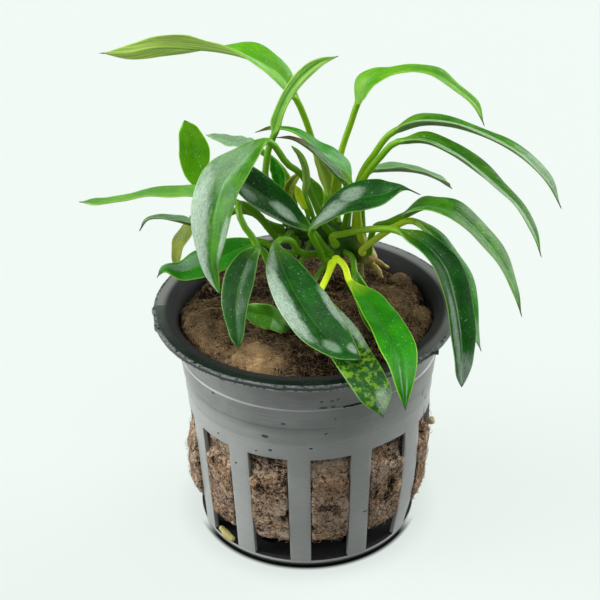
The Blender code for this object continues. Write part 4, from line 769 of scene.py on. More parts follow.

# Patches of painted sheen: across (-1 to 1), along, reach across, reach along, strength
LOOKS = {
    "leaf_top_left": dict(green="lit", glow=0.3, tip=0.03, stalk_low=(0.18, 0.36, 0.01),
                          stalk_high=(0.22, 0.46, 0.01), painted_sheen=[(-0.55, 0.33, 0.3, 0.16, 0.3)]),
    "leaf_pointed": dict(green="lit", tip=0.02, pale=0.05, stripes=0.35),
    "leaf_back_left": dict(green="mid", pale=0.45),
    "leaf_top_right": dict(green="lit", glow=0.2, tip=0.05, stalk_low=(0.26, 0.46, 0.01),
                           stalk_high=(0.22, 0.46, 0.01)),
    "leaf_outer_right": dict(green="mid", tip=0.04, stalk_low=STALK_YELLOW, stalk_high=(0.20, 0.46, 0.01),
                             painted_sheen=[(-0.4, 0.82, 0.6, 0.24, 0.4), (0.75, 0.45, 0.4, 0.5, 0.5)]),
    "leaf_inner_right": dict(green="mid", tip=0.04, stalk_low=STALK_YELLOW, stalk_high=(0.17, 0.45, 0.01),
                             painted_sheen=[(0.7, 0.55, 0.45, 0.5, 0.55)]),
    "leaf_thin_right": dict(green="mid", tip=0.06, pale=0.25),
    "leaf_curled_top": dict(green="bright", glow=0.2, tip=0.12, painted_sheen=[(-0.4, 0.5, 0.4, 0.25, 0.35)]),
    "leaf_dark_top": dict(green="dark", tip=0.3),
    "leaf_mid_right": dict(green="mid", tip=0.05, painted_sheen=[(0.55, 0.52, 0.4, 0.4, 0.1)]),
    "leaf_low_right_back": dict(green="bright", stalk_high=(0.42, 0.62, 0.02), stalk_low=(0.46, 0.56, 0.05),
                                painted_sheen=[(0.0, 0.9, 1.2, 0.16, 0.4)]),
    "leaf_low_right_front": dict(green="dark", stalk_high=(0.20, 0.44, 0.01), stalk_low=(0.22, 0.40, 0.02),
                                 painted_sheen=[(-0.1, 0.95, 1.2, 0.16, 0.55), (0.05, 0.5, 0.10, 0.4, 0.45),
                                        (0.6, 0.7, 0.3, 0.28, 0.4)]),
    "leaf_big_front_left": dict(green="mid", painted_sheen=[(0.66, 0.66, 0.6, 0.42, 1.0), (0.3, 0.25, 0.9, 0.2, 0.35),
                                                    (-0.85, 0.68, 0.22, 0.16, 0.7)]),
    "leaf_upright_left": dict(green="lit", glow=0.35),
    "leaf_long_left": dict(green="lit", tip=0.03, pale=0.1),
    "leaf_thin_left": dict(green="mid", pale=0.35, tip=0.12),
    "leaf_yellowed": dict(green="yellow", glow=0.2),
    "leaf_low_left": dict(green="bright", tip=0.05, painted_sheen=[(0.4, 0.7, 0.5, 0.3, 0.35)]),
    "leaf_small_front_left": dict(green="dark"),
    "leaf_big_front": dict(green="dark", painted_sheen=[(0.74, 0.42, 0.45, 0.36, 0.9), (0.6, 0.12, 0.4, 0.12, 0.45),
                                                (-0.88, 0.6, 0.2, 0.2, 0.6), (0.3, 0.82, 0.4, 0.07, 0.45),
                                                (-0.45, 0.92, 0.35, 0.05, 0.5)]),
    "leaf_under_front": dict(green="dark", spots=1.0, painted_sheen=[(-0.4, 0.93, 0.7, 0.09, 0.6),
                                                             (-0.8, 0.38, 0.28, 0.25, 0.6)],
                             stalk_low=STALK_BRIGHT, stalk_high=STALK_BRIGHT, stalk_glow=0.45),
    "leaf_bright_front": dict(green="bright", glow=0.12,
                              painted_sheen=[(0.25, 0.88, 0.10, 0.1, 0.45), (-0.3, 0.92, 0.10, 0.08, 0.4)],
                              stalk_low=STALK_BRIGHT, stalk_high=STALK_BRIGHT, stalk_glow=0.45),
    "leaf_dark_front_right": dict(green="dark"),
    "leaf_centre_dark": dict(green="dark", painted_sheen=[(-0.15, 0.31, 0.46, 0.17, 1.0),
                                                  (-0.6, 0.68, 0.35, 0.1, 0.4),
                                                  (-0.95, 0.4, 0.14, 0.3, 0.4)]),
    "leaf_centre_right": dict(green="dark", tip=0.06, painted_sheen=[(0.1, 0.18, 0.75, 0.22, 0.8),
                                                             (-0.35, 0.42, 0.4, 0.12, 0.6)]),
    "young_leaf_olive": dict(green="young", glow=0.2),
    "young_leaf_dark": dict(green="young"),
    "young_leaf_arched": dict(green="yellow"),
    "young_leaf_yellow": dict(green="young", glow=0.3),
    "young_leaf_green": dict(green="lit"),
    "young_leaf_hanging": dict(green="lit"),
    "young_leaf_lying": dict(green="mid", glow=0.0),
}
print("greens:", ", ".join(GREENS))

# %% [markdown]
# The paint is mixed in four steps: the two sides of the blade, its veins and margin, the painted sheen
# that stands in for the lamps' reflections on it, and the stalk. A little of the colour also glows,
# which stands in for the light that a thin leaf lets through.

# %% Mix the paint of one leaf
VEIN_SPACING = 1.25
FINE_SPACING = 0.36
SPOT_YELLOW = (0.16, 0.36, 0.01)


def leaf_paint(name, width, blade_length, seed, look):
    green = GREENS[look.get("green", "bright")]
    fixed = {"Specular IOR Level": 0.22, "Emission Strength": 1.0}
    paint = Finish(name + "_skin", fixed)
    u, v = paint.map("leaf")
    across_mm, half_mm = paint.map("span")
    across = 1.0 - (u - 1.0).size() * 2.0
    reach = across.size()
    below = u.ease(0.999, 1.001)
    blade = v.ease(-0.01, 0.035)
    along_mm = v * blade_length
    object_place = paint.place()
    cloud = paint.mottle(object_place, 260.0)
    grain = paint.mottle(object_place, 2300.0, 3.0, 0.7)

    rise = along_mm - (reach * 0.5 + reach * reach * 0.75) * width
    rise = rise + (cloud - 0.5) * 0.5
    vein = (rise * (2.0 * math.pi / VEIN_SPACING)).sine().ease(0.7, 1.0)
    fine = (rise * (2.0 * math.pi / FINE_SPACING)).sine() * 0.5 + 0.5
    streaks = paint.mottle(paint.vector(across_mm * 1.1, rise * 0.35, seed), 2.2, 4.0, 0.6)

    tone = streaks.ease(0.3, 0.7) * 0.25 + cloud.ease(0.3, 0.7) * 0.5 + vein * 0.08 + (grain - 0.4) * 0.4
    top = paint.blend(tone, green["deep"], green["fresh"])
    if "spots" in look:
        spots = paint.mottle(object_place, 900.0, 3.0, 0.65).ease(0.47, 0.6) * look["spots"]
        top = paint.blend(spots * v.ease(0.2, 0.5), top, SPOT_YELLOW)
    lines = paint.mottle(paint.vector(across_mm * 2.4, along_mm * 0.06, seed), 1.7, 2.0, 0.5)
    under_tone = lines.ease(0.36, 0.62) * 0.7 + fine * 0.15 + (grain - 0.5) * 0.3
    under = paint.blend(under_tone, tuple(channel * 0.5 for channel in green["under"]), green["under"])
    skin = paint.blend(below, top, under)
    if "stripes" in look:
        skin = paint.blend(lines.ease(0.4, 0.6) * look["stripes"], skin, green["under"])
    skin = paint.blend(v.ease(0.2, 0.0) * 0.5, skin, look.get("stalk_high", STALK_HIGH))
    rib = across_mm.size().ease(0.2, 0.08) * v.ease(0.97, 0.55)
    skin = paint.blend(rib * (0.25 + below * 0.5), skin, MIDRIB)
    edge = (half_mm - across_mm.size()).ease(0.24, 0.06) * half_mm.ease(0.3, 0.9)
    skin = paint.blend(edge * 0.8, skin, green["margin"])

    haze = paint.mottle(paint.vector(across_mm * 0.8, along_mm * 0.25, seed + 7.0), 2.4, 4.0, 0.62)
    scratch = paint.mottle(paint.vector(across_mm * 3.0, along_mm * 0.5, seed + 3.0), 2.2, 4.0, 0.7)
    # painted sheen: pale patches painted where the lamps' reflections fall; "pale" lays a weak even sheen
    # over the whole upper side
    painted_sheen = look.get("pale", 0.0)
    for centre_across, centre_along, reach_across, reach_along, strength in look.get("painted_sheen", ()):
        off_across = (across - centre_across) / reach_across
        off_along = (v - centre_along) / reach_along
        far = off_across * off_across + off_along * off_along + (haze - 0.5) * 1.3 + (scratch - 0.5) * 0.8
        painted_sheen = (far.ease(1.15, 0.15) * strength).highest(painted_sheen)
    painted_sheen = painted_sheen * (scratch.ease(0.3, 0.62) * 0.4 + grain.ease(0.35, 0.65) * 0.25 + 0.4) * (1.0 - below)
    skin = paint.blend(painted_sheen, skin, SHEEN_COLOUR)
    # tiny pale dots laid over the blade
    pale_dots = paint.mottle(object_place, 2600.0, 2.0, 0.5).ease(0.66, 0.74)
    skin = paint.blend(pale_dots * 0.4, skin, SHEEN_COLOUR)

    fibre = paint.mottle(paint.vector(across_mm * 3.0, along_mm * 0.12, seed), 2.0, 3.0, 0.6)
    low, high = look.get("stalk_low", STALK_LOW), look.get("stalk_high", STALK_HIGH)
    stalk = paint.blend(v.ease(-0.75, -0.05), low, high)
    stalk = paint.blend(fibre.ease(0.35, 0.7) * 0.4, stalk, tuple(channel * 0.6 for channel in high))
    colour = paint.blend(blade, stalk, skin)
    tip = look.get("tip", 0.015)
    colour = paint.blend(v.ease(1.0 - tip * 1.8, 1.0 - tip * 0.5) * 0.85, colour, TIP_BROWN)
    paint.set("Base Color", colour)
    stalk_glow = look.get("stalk_glow", 0.16)
    glow = blade * (look.get("glow", 0.06) - stalk_glow) + stalk_glow
    paint.set("Emission Color", paint.blend(glow, BLACK, colour))

    rough = green["gloss"] + (grain - 0.5) * 0.25 + painted_sheen * 0.2 + below * 0.16
    paint.set("Roughness", rough)
    height = vein * 0.3 + fine * 0.06 + streaks * 0.25 + grain * 0.25 - rib * 0.5
    paint.raise_by(height * blade, 0.5, 0.0002)
    return paint.material


print("vein spacing in mm:", VEIN_SPACING)

# %% [markdown]
# ## Growing the leaves
# Now each row of the table becomes a mesh with its own paint, and stands for the node of the same
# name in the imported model.

# %% Make every leaf
PATTERN_STEP = 3.7        # moves the pattern from one leaf to the next
leaf_faces = 0
for number, leaf in enumerate(LEAVES):
    name = leaf["name"]
    shape, blade_length = leaf_shape(leaf, number)
    material = leaf_paint(name, leaf["width"], blade_length, number * PATTERN_STEP, LOOKS.get(name, {}))
    mesh = finished_mesh(name + "_skin", shape, material)
    add_piece(name + "_skin", mesh, leaf["slot"], name)
    leaf_faces += len(mesh.polygons)
print("faces in all the leaves:", leaf_faces)

# %% [markdown]
# ## The pot
# A basket pot is one thin moulding: flange, collar and ribs have the same wall. So only its outer
# skin is drawn, as a profile turned once round. The steps of the turn are counted so that some fall
# exactly on the sides of the ribs: 17 for each rib with its slot. The faces in the slots are deleted,
# and a Solidify modifier gives what is left its wall, so the slots have real sides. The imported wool
# has pushed the right-hand side of the cup out a little, so this skin is pushed out there too.

# %% Turn the skin of the pot
# Height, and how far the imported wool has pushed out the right-hand side of the cup there
BOW = [(1.7, 0.0), (9.0, 1.6), (20.0, 1.6), (25.9, 1.1), (36.8, 1.0), (43.4, 0.0)]
BOW_START, BOW_END = 12.0, 21.5   # where along X the push begins and where it is full


def push(x, z):
    """How far a place on the cup or its wool is pushed out to the right, in mm."""
    share = min(1.0, max(0.0, (x - BOW_START) / (BOW_END - BOW_START)))
    share = share * share * (3.0 - 2.0 * share)
    for (low, low_out), (high, high_out) in zip(BOW, BOW[1:]):
        if low < z <= high:
            return share * (low_out + (high_out - low_out) * (z - low) / (high - low))
    return 0.0


RIBS = 12
RIB_STEPS = 6
SLOT_STEPS = 11
RIB_TURN = -4.0
WALL = 0.9
SLOT_BOTTOM, SLOT_TOP = 1.7, 25.9
FLANGE_UNDERSIDE = 44.3
FLANGE_RADIUS = 27.85
DRAIN_INNER, DRAIN_OUTER = 7.0, 16.0
SKIN_PROFILE = [(FLANGE_RADIUS, FLANGE_UNDERSIDE), (26.6, 44.28), (24.85, 44.2), (24.62, 44.0),
                (24.2, 42.0), (23.7, 39.8), (23.3, 37.75), (23.36, 37.5), (23.5, 37.35), (23.5, 37.15),
                (23.35, 36.0), (23.15, 34.4), (23.02, 33.15), (22.86, 32.95), (22.72, 32.75),
                (22.68, 31.2), (22.66, 29.65), (22.55, 29.5), (22.5, 29.2), (22.42, 27.5),
                (22.35, SLOT_TOP), (22.1, 22.0), (21.78, 17.0), (21.46, 12.0), (21.15, 7.0),
                (20.81, SLOT_BOTTOM), (20.74, 1.0), (20.55, 0.35), (20.1, 0.0),
                (DRAIN_OUTER, 0.0), (DRAIN_INNER, 0.0), (0.0, 0.0)]

steps_per_rib = RIB_STEPS + SLOT_STEPS
turn_steps = RIBS * steps_per_rib
first_angle = math.radians(RIB_TURN - 90.0 - 0.5 * RIB_STEPS * 360.0 / turn_steps)
pot_shape = bmesh.new()
corners = [pot_shape.verts.new((radius * math.cos(first_angle) * MM, radius * math.sin(first_angle) * MM,
                                height * MM)) for radius, height in SKIN_PROFILE]
lines = [pot_shape.edges.new(pair) for pair in zip(corners, corners[1:])]
bmesh.ops.spin(pot_shape, geom=corners + lines, cent=(0, 0, 0), axis=(0, 0, 1), dvec=(0, 0, 0),
               angle=2.0 * math.pi, steps=turn_steps, use_merge=True, use_duplicate=False)
close_up(pot_shape, COARSE_WELD)
print("faces in the turned skin:", len(pot_shape.faces))

# %% [markdown]
# A slot is every face between the ribs, from the base ring up to the collar. Six narrow drains go
# through the floor. The moulding's edge is not perfect either: thin flash stands out under the flange
# in a few places, so those points of the rim are pushed out a little.

# %% Open the slots and drains and rough up the rim
DRAINS = 6
DRAIN_HALF_WIDTH = 1.2
FLASH_BITS = [(-177.1, 1.6, 0.3), (-165.1, 1.8, 0.3), (-35.8, 1.2, 0.7), (-88.0, 7.0, 0.12),
              (-120.0, 5.0, 0.12), (-100.0, 2.0, 0.2), (-83.0, 1.5, 0.22), (120.0, 4.0, 0.2)]
FLASH_DROOP = 0.12        # how much lower the rim is where flash stands out 1 mm
RIM_BAND = 0.2
RIM_WOBBLE, WOBBLE_SIZE = 0.05, 2.2


def steps_round(place):
    """How many steps of the turn a place lies past the first."""
    turned = (math.atan2(place.y, place.x) - first_angle) % (2.0 * math.pi)
    return turned / (2.0 * math.pi) * turn_steps


def step_of(face):
    return int(steps_round(face.calc_center_median())) % steps_per_rib


def in_a_drain(middle):
    radius = math.hypot(middle.x, middle.y) / MM
    if middle.z > 0.0001 or not DRAIN_INNER < radius < DRAIN_OUTER:
        return False
    pitch = 2.0 * math.pi / DRAINS
    angle = (math.atan2(middle.y, middle.x) + 0.5 * pitch) % pitch - 0.5 * pitch
    return abs(radius * math.sin(angle)) < DRAIN_HALF_WIDTH


openings = []
for face in pot_shape.faces:
    middle = face.calc_center_median()
    if SLOT_BOTTOM < middle.z / MM < SLOT_TOP and step_of(face) >= RIB_STEPS:
        openings.append(face)
    elif in_a_drain(middle):
        openings.append(face)
bmesh.ops.delete(pot_shape, geom=openings, context="FACES")

for vert in pot_shape.verts:
    radius = math.hypot(vert.co.x, vert.co.y) / MM
    if radius > FLANGE_RADIUS - RIM_BAND:
        angle = math.degrees(math.atan2(vert.co.y, vert.co.x))
        out = RIM_WOBBLE * noise.noise(Vector((vert.co.x, vert.co.y, 0.0)) / (WOBBLE_SIZE * MM))
        for centre, reach, size in FLASH_BITS:
            away = (angle - centre + 180.0) % 360.0 - 180.0
            out += size * math.exp(-(away / reach) ** 4)
        vert.co *= 1.0 + out / radius
        vert.co.z = (FLANGE_UNDERSIDE - FLASH_DROOP * min(1.0, out)) * MM
    vert.co.x += push(vert.co.x / MM, vert.co.z / MM) * MM
middle = Vector((0.0, 0.0, 0.03))
outward = [face for face in pot_shape.faces if face.normal.dot(face.calc_center_median() - middle) > 0.0]
if len(outward) < len(pot_shape.faces) / 2:
    bmesh.ops.reverse_faces(pot_shape, faces=pot_shape.faces)
print("faces taken out for slots and drains:", len(openings))

# %% [markdown]
# ## The pot's plastic
# Recycled grey plastic, matt and slightly chalky, darker on the collar than on the ribs, with fine
# scratches that run round it. The flange is wet at the front left, and wet plastic is darker and
# glossier. Its thin rim shows as a black line between two pale ones, which are painted highlights on
# its rounded edges. Pale lines of painted highlight also run along two ridges and the top of the
# foot, and a dark line of painted shade lies under a step of the collar. The lowest millimetre of
# the foot and the inside of the pot are painted black as shade. Specks of wet dirt stick to the
# collar; each is a small ragged blob at a measured turn and height.

# %% Mix the plastic
COLLAR_GREY = (0.205, 0.215, 0.205)
RIB_GREY = (0.36, 0.375, 0.36)
# pale grey of the chalky patches and of the painted highlight lines
CHALK_AND_HIGHLIGHT_GREY = (0.62, 0.64, 0.63)
WET_BLACK = (0.006, 0.014, 0.012)
DAMP_GREY = (0.085, 0.105, 0.090)
FLANGE_GREY = (0.120, 0.125, 0.120)
BACK_GREY = (0.24, 0.25, 0.24)
# painted shade: the black of the inside of the pot
INNER_SHADE_BLACK = (0.006, 0.007, 0.008)
SPECKS = [(-135.0, 36.8, 0.45, 0.28), (-109.2, 30.7, 0.62, 0.36), (-100.4, 34.2, 0.42, 0.22),
          (-77.9, 35.1, 0.25, 0.17), (-83.6, 39.2, 0.36, 0.25), (-79.4, 39.2, 0.30, 0.22),
          (-76.8, 39.4, 0.40, 0.26), (-83.0, 37.8, 0.80, 0.24), (-78.8, 37.8, 0.50, 0.22),
          (-69.0, 37.5, 2.30, 0.22), (-81.6, 31.7, 0.30, 0.25), (-88.4, 28.6, 0.38, 0.20),
          (-107.1, 27.7, 0.38, 0.25), (-114.1, 26.9, 0.25, 0.17), (-26.1, 32.1, 0.40, 0.80),
          (-23.0, 30.2, 0.38, 0.35), (-125.8, 22.4, 0.25, 0.20), (-60.6, 11.5, 0.60, 0.16),
          (-135.8, 27.4, 0.25, 0.25), (-22.0, 26.6, 0.35, 1.10)]
COLLAR_RADIUS = 23.0
RIDGE_HIGHLIGHTS = ((37.35, 0.8), (29.6, 0.3), (1.45, 0.7))   # height and strength of each painted highlight line

plastic = Finish("grey_moulded_plastic", {"Specular IOR Level": 0.55})
place = plastic.place()
x, y, z = plastic.parts(place)
x_mm, y_mm, z_mm = x * PER_METRE, y * PER_METRE, z * PER_METRE
radius_mm = (x_mm * x_mm + y_mm * y_mm).root()
turn_deg = plastic.node("ShaderNodeMath", {"operation": "ARCTAN2"}, (y, x)) * (180.0 / math.pi)
broad = plastic.mottle(place, 90.0, 3.0)
grit = plastic.mottle(place, 1400.0, 4.0, 0.65)
rings = plastic.mottle(plastic.vector(turn_deg * 0.02, z_mm * 2.2, radius_mm * 0.1), 3.0, 4.0, 0.65)
facing = plastic.parts(plastic.node("ShaderNodeNewGeometry", {}, {}, "Normal"))
facing_out = (facing[0] * x_mm + facing[1] * y_mm) / radius_mm

body = plastic.blend(z_mm.ease(33.2, 28.5), COLLAR_GREY, RIB_GREY)
chalk = broad.ease(0.35, 0.7) * 0.25 + rings.ease(0.4, 0.7) * 0.15
body = plastic.blend(chalk, body, CHALK_AND_HIGHLIGHT_GREY)
body = plastic.blend(grit.ease(0.56, 0.8) * 0.3, body, (0.10, 0.105, 0.10))
# painted highlights: pale lines along the edges of two ridges and the top of the foot
for height, strength in RIDGE_HIGHLIGHTS:
    ridge_highlight = (z_mm - height).size().ease(0.2, 0.06) * strength
    body = plastic.blend(ridge_highlight, body, CHALK_AND_HIGHLIGHT_GREY)
# painted shade: a dark line under the step round the collar, at 33 mm
body = plastic.blend((z_mm - 33.0).size().ease(0.25, 0.05) * 0.6, body, (0.05, 0.052, 0.05))
# painted shade: the lowest millimetre of the foot, where it curves under, almost black
body = plastic.blend(z_mm.ease(1.15, 0.95) * 0.95, body, (0.012, 0.013, 0.013))

speck = 0.0
for centre, height, wide, tall in SPECKS:
    off_turn = (turn_deg - centre) * (math.radians(COLLAR_RADIUS) / wide)
    off_height = (z_mm - height) / tall
    far = off_turn * off_turn + off_height * off_height + (grit - 0.5) * 3.0
    speck = far.ease(1.1, 0.85).highest(speck)
body = plastic.blend(speck, body, (0.004, 0.003, 0.003))

wet = ((turn_deg + 105.0).size() + (broad - 0.5) * 50.0).ease(80.0, 30.0)
top = plastic.blend(turn_deg.ease(-60.0, 30.0), FLANGE_GREY, BACK_GREY)
top = plastic.blend(turn_deg.ease(-140.0, -165.0), top, DAMP_GREY)
top = plastic.blend(wet, top, WET_BLACK)
top = plastic.blend(rings.ease(0.52, 0.75) * 0.15, top, FLANGE_GREY)
on_top = z_mm.ease(44.6, 44.9) * facing[2].ease(0.3, 0.6)
on_rim = radius_mm.ease(27.2, 27.5) * z_mm.ease(44.0, 44.1)
# painted highlights: pale lines on the rim's rounded top and bottom edges, broken up by a noise
highlight_breakup = grit.ease(0.35, 0.6)
rim = plastic.blend(z_mm.ease(44.98, 45.1) * highlight_breakup * 0.8, WET_BLACK, (0.30, 0.32, 0.31))
rim = plastic.blend(z_mm.ease(44.56, 44.44) * highlight_breakup, rim, (0.42, 0.44, 0.43))
# painted shade: the inside wall, the inner floor and the inner face of the flange are painted black
on_floor = facing[2].ease(0.3, 0.6) * z_mm.ease(3.0, 2.5) * z_mm.ease(0.6, 0.8)
inner_shade = facing_out.ease(-0.05, -0.25).highest(on_floor)
inner_shade = inner_shade.highest(radius_mm.ease(24.5, 24.1) * z_mm.ease(43.0, 43.5) * facing_out.ease(0.4, 0.2))
colour = plastic.blend(on_top, body, top)
colour = plastic.blend(inner_shade, colour, INNER_SHADE_BLACK)
colour = plastic.blend(on_rim * (1.0 - on_top * z_mm.ease(45.2, 45.14)), colour, rim)
plastic.set("Base Color", colour)
plastic.set("Roughness", 0.36 + (grit - 0.5) * 0.25 - on_top * wet * 0.16 - speck * 0.15 + inner_shade * 0.5)
plastic.raise_by(grit * 0.6 + rings * 0.5, 0.3, 0.00014)

# %% [markdown]
# A Solidify modifier gives the skin its wall, on the inner side only, so that the outside keeps its
# measured size. The bevel rounds every sharp edge a little, as a mould does, and those edges catch
# the light.

# %% Finish the pot
pot_mesh = finished_mesh("pot_shell", pot_shape, plastic.material)
pot = add_piece("pot_shell", pot_mesh, "pot_plastic", "basket_pot")
shell = pot.modifiers.new("wall", "SOLIDIFY")
shell.thickness = WALL * MM
shell.offset = -1.0
shell.use_even_offset = True
rounding = pot.modifiers.new("rounding", "BEVEL")
rounding.width = 0.07 * MM
rounding.segments = 2
rounding.limit_method = "ANGLE"
rounding.angle_limit = math.radians(45.0)
print("faces in the pot before its wall:", len(pot_mesh.polygons))

# %% [markdown]
# ## The wool
# Mineral wool looks like brown felt torn into lumps. Its block comes from the imported model: a copy is
# merged, remeshed into even small faces, pushed in and out by noise at three sizes and torn in a few
# places. How deep each point lies is kept as an attribute, because the paint darkens the hollows with
# painted shade.

# %% Lump the wool
WOOL_CELL = 0.42
SLOT_BULGE = 0.1          # how far the wool may swell past the ribs, in mm
PULLED_IN = 0.85          # how much of any further swelling is taken back
SLOTS_END = 27.0          # above this height the wool is free
LEFT_SLOT_END = -157.0    # the slot at the far left, up to this turn, is free too
USUAL_PUSH = 1.4          # about how far the wool at the right has been pushed out
TOP_START, TOP_RISE = 42.0, 1.5   # where the top's own mounds begin, and over how much height
SIDE_LIMIT, TOP_EXTRA, DEEPEST = 0.35, 1.1, -2.2   # how far out and in the wool may go
wool_block = bmesh.new()
wool_block.from_mesh(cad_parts["wool_plug"].data)
bmesh.ops.remove_doubles(wool_block, verts=wool_block.verts, dist=COARSE_WELD)
wool_mesh = evaluated_mesh("wool_block", finished_mesh("wool_block", wool_block), WOOL_CELL)
print("faces in the wool:", len(wool_mesh.polygons))

# Turn in degrees, height, reach in degrees, reach up and down and depth of each tear in the sides
TEARS = [(-105.5, 23.9, 3.2, 1.3, 1.4), (-101.2, 11.9, 4.0, 0.7, 1.0), (-113.0, 18.0, 2.0, 0.8, 0.7),
         (-80.1, 14.2, 4.8, 1.0, 1.3), (-67.4, 19.5, 2.6, 1.1, 1.1), (-88.0, 9.8, 2.0, 0.8, 0.6),
         (-45.9, 15.7, 2.6, 1.7, 1.2), (-48.0, 12.6, 2.0, 1.2, 1.0), (-134.5, 7.6, 2.2, 1.6, 1.0),
         (-141.0, 20.0, 2.5, 0.8, 0.7), (-20.0, 20.5, 2.0, 1.5, 0.9)]


def wool_depth(place):
    """How far the wool stands out (above 0) or is torn in (below 0) at a place, in mm."""
    lumps = noise.noise(place / 5.0 + Vector((3.1, 0.0, 7.7)))
    clods = noise.noise(place / 2.2)
    threads = noise.noise(Vector((place.x / 0.9, place.y / 0.9, place.z / 0.5)) + Vector((9.0, 2.0, 4.0)))
    tear = max(0.0, 0.12 - abs(noise.noise(place / 4.0 + Vector((0.0, 5.5, 1.5))))) / 0.12
    torn = max(0.0, noise.noise(place / 6.0 + Vector((4.0, 1.0, 2.0))))
    out = 0.35 * lumps + 0.3 * clods + 0.26 * threads - 1.7 * tear * tear * torn
    turned = math.degrees(math.atan2(place.y, place.x))
    for turn, height, wide, tall, deep in TEARS:
        far = ((turned - turn) / wide) ** 2 + ((place.z - height) / tall) ** 2 + 1.4 * clods
        out -= deep * math.exp(-max(0.0, far))
    return out


def wall_radius(height):
    """Radius of the outside of the ribs at a height, in mm."""
    return 20.74 + (22.35 - 20.74) * max(0.0, min(1.0, (height - 1.0) / 24.9))


# Place, reach and height of the mounds and hollows of the top
WOOL_MOUNDS = [(-19.0, -6.0, 4.5, 1.1), (-8.0, -18.5, 5.0, 1.3), (17.0, -1.0, 6.5, 1.2),
               (18.5, 9.5, 3.0, 0.8), (-14.0, -12.6, 4.0, 0.5), (5.3, 6.9, 2.6, -2.2),
               (-1.0, -9.5, 4.5, -0.8), (-20.0, 8.0, 5.0, -1.0), (14.0, 17.0, 4.0, -1.2),
               (5.0, -21.5, 4.5, -1.6), (-16.5, -4.0, 1.6, -1.4), (22.0, 3.0, 2.5, -1.2)]

depth_layer = wool_mesh.attributes.new("depth", "FLOAT", "POINT")
depths = []
moved = []
for vert in wool_mesh.vertices:
    place = vert.co / MM
    out = wool_depth(place)
    high = max(0.0, min(1.0, (place.z - TOP_START) / TOP_RISE))
    for x, y, reach, size in WOOL_MOUNDS:
        far = ((place.x - x) ** 2 + (place.y - y) ** 2) / reach ** 2
        out += high * size * math.exp(-far)
    out += high * (0.8 * noise.noise(place / 3.1 + Vector((7.0, 0.0, 2.0))) - 0.25)
    limit = SIDE_LIMIT + TOP_EXTRA * high
    out = max(DEEPEST, min(limit, out))
    depths.append(out)
    target = place + vert.normal * out
    unpushed = target.x - push(target.x - USUAL_PUSH, target.z)
    beyond = math.hypot(unpushed, target.y) - wall_radius(target.z) - SLOT_BULGE
    turned = math.degrees(math.atan2(target.y, target.x))
    if beyond > 0.0 and target.z < SLOTS_END and not -180.0 < turned < LEFT_SLOT_END:
        target = target - Vector((target.x, target.y, 0.0)).normalized() * (beyond * PULLED_IN)
    moved.append(target * MM)
for vert, target in zip(wool_mesh.vertices, moved):
    vert.co = target
depth_layer.data.foreach_set("value", depths)
wool_mesh.shade_smooth()
print("wool depth from", round(min(depths), 2), "to", round(max(depths), 2), "mm")

# %% [markdown]
# The wool's colour goes from nearly black in the tears, over red brown, to a pale pinkish tan where
# it is dry, in the sides. The near black of the tears, hollows and cracks is painted shade. The top
# is much darker, partly because it is moist and partly by painted shade from the leaves above it.
# The depth attribute drives most of the colour.
# Threads are the places where a noise crosses its middle value, which makes thin wandering lines.

# %% Mix the wool's colour
WOOL_DARK = (0.010, 0.006, 0.004)
WOOL_BROWN = (0.25, 0.155, 0.095)
WOOL_PALE = (0.88, 0.69, 0.51)
WOOL_TAN = (0.84, 0.56, 0.33)
WOOL_MOIST = (0.90, 0.60, 0.29)
TAN_X, TAN_Y = -0.0085, -0.0185   # the middle of the paler patch on top, in metres


def wool_paint(name, fibres):
    wool = Finish(name, {"Specular IOR Level": 0.12})
    place = wool.place()
    x, y, z = wool.parts(place)
    felt = wool.mottle(place, 1300.0, 4.0, 0.75)
    patch = wool.mottle(place, 170.0, 3.0, 0.6)
    bend = wool.mottle(place, 500.0, 3.0, 0.6) * 0.0016
    crack = (wool.mottle(wool.vector(x + bend, y + bend, z * 1.3), 330.0, 3.0, 0.6) - 0.5).size()
    long_thread = (wool.mottle(wool.vector(x + bend, y, z * 1.6), 700.0, 2.0, 0.5) - 0.5).size()
    short_thread = (wool.mottle(wool.vector(x, y + bend, z), 1700.0, 2.0, 0.5) - 0.5).size()
    thread = long_thread.ease(0.04, 0.0) * 0.6 + short_thread.ease(0.06, 0.0) * 0.5
    light = wool.blend(patch.ease(0.42, 0.66), WOOL_PALE, WOOL_TAN)
    on_top = z.ease(0.040, 0.043)
    light = wool.blend(on_top, light, WOOL_MOIST)
    if fibres:
        colour = wool.blend(felt.ease(0.3, 0.65), WOOL_BROWN, light)
    else:
        depth = wool.node("ShaderNodeAttribute", {"attribute_name": "depth"}, {}, "Fac")
        # painted shade: the deep places, tears and cracks are darkened
        tone = depth + (felt - 0.5) * 3.0 + thread * 0.7 - crack.ease(0.035, 0.0) * 0.8
        tone = tone.ease(-0.85, 0.8)
        colour = wool.blend(tone * 2.2, WOOL_DARK, WOOL_BROWN)
        colour = wool.blend((tone - 0.36) * 1.9 + thread * 0.3, colour, light)
    from_tan = wool.vector(x - TAN_X, y - TAN_Y, 0.0)
    near_tan = wool.node("ShaderNodeVectorMath", {"operation": "LENGTH"}, {0: from_tan}, "Value") * PER_METRE
    pale_spot = (near_tan + (felt - 0.5) * 8.0).ease(6.5, 3.0)
    # the top is darkened, partly for moisture and partly as painted shade from the leaves above, less in a
    # paler patch
    moist_and_shade_share = 0.5 if fibres else 0.89
    moist_and_shade = on_top * (moist_and_shade_share - pale_spot * 0.35 - patch.ease(0.45, 0.65) * 0.15)
    colour = wool.blend(moist_and_shade, colour, WOOL_DARK)
    wool.set("Base Color", colour)
    wool.set("Roughness", 0.85 + (felt - 0.5) * 0.2)
    wool.raise_by(felt + thread * 0.5, 0.9, 0.0004)
    return wool.material


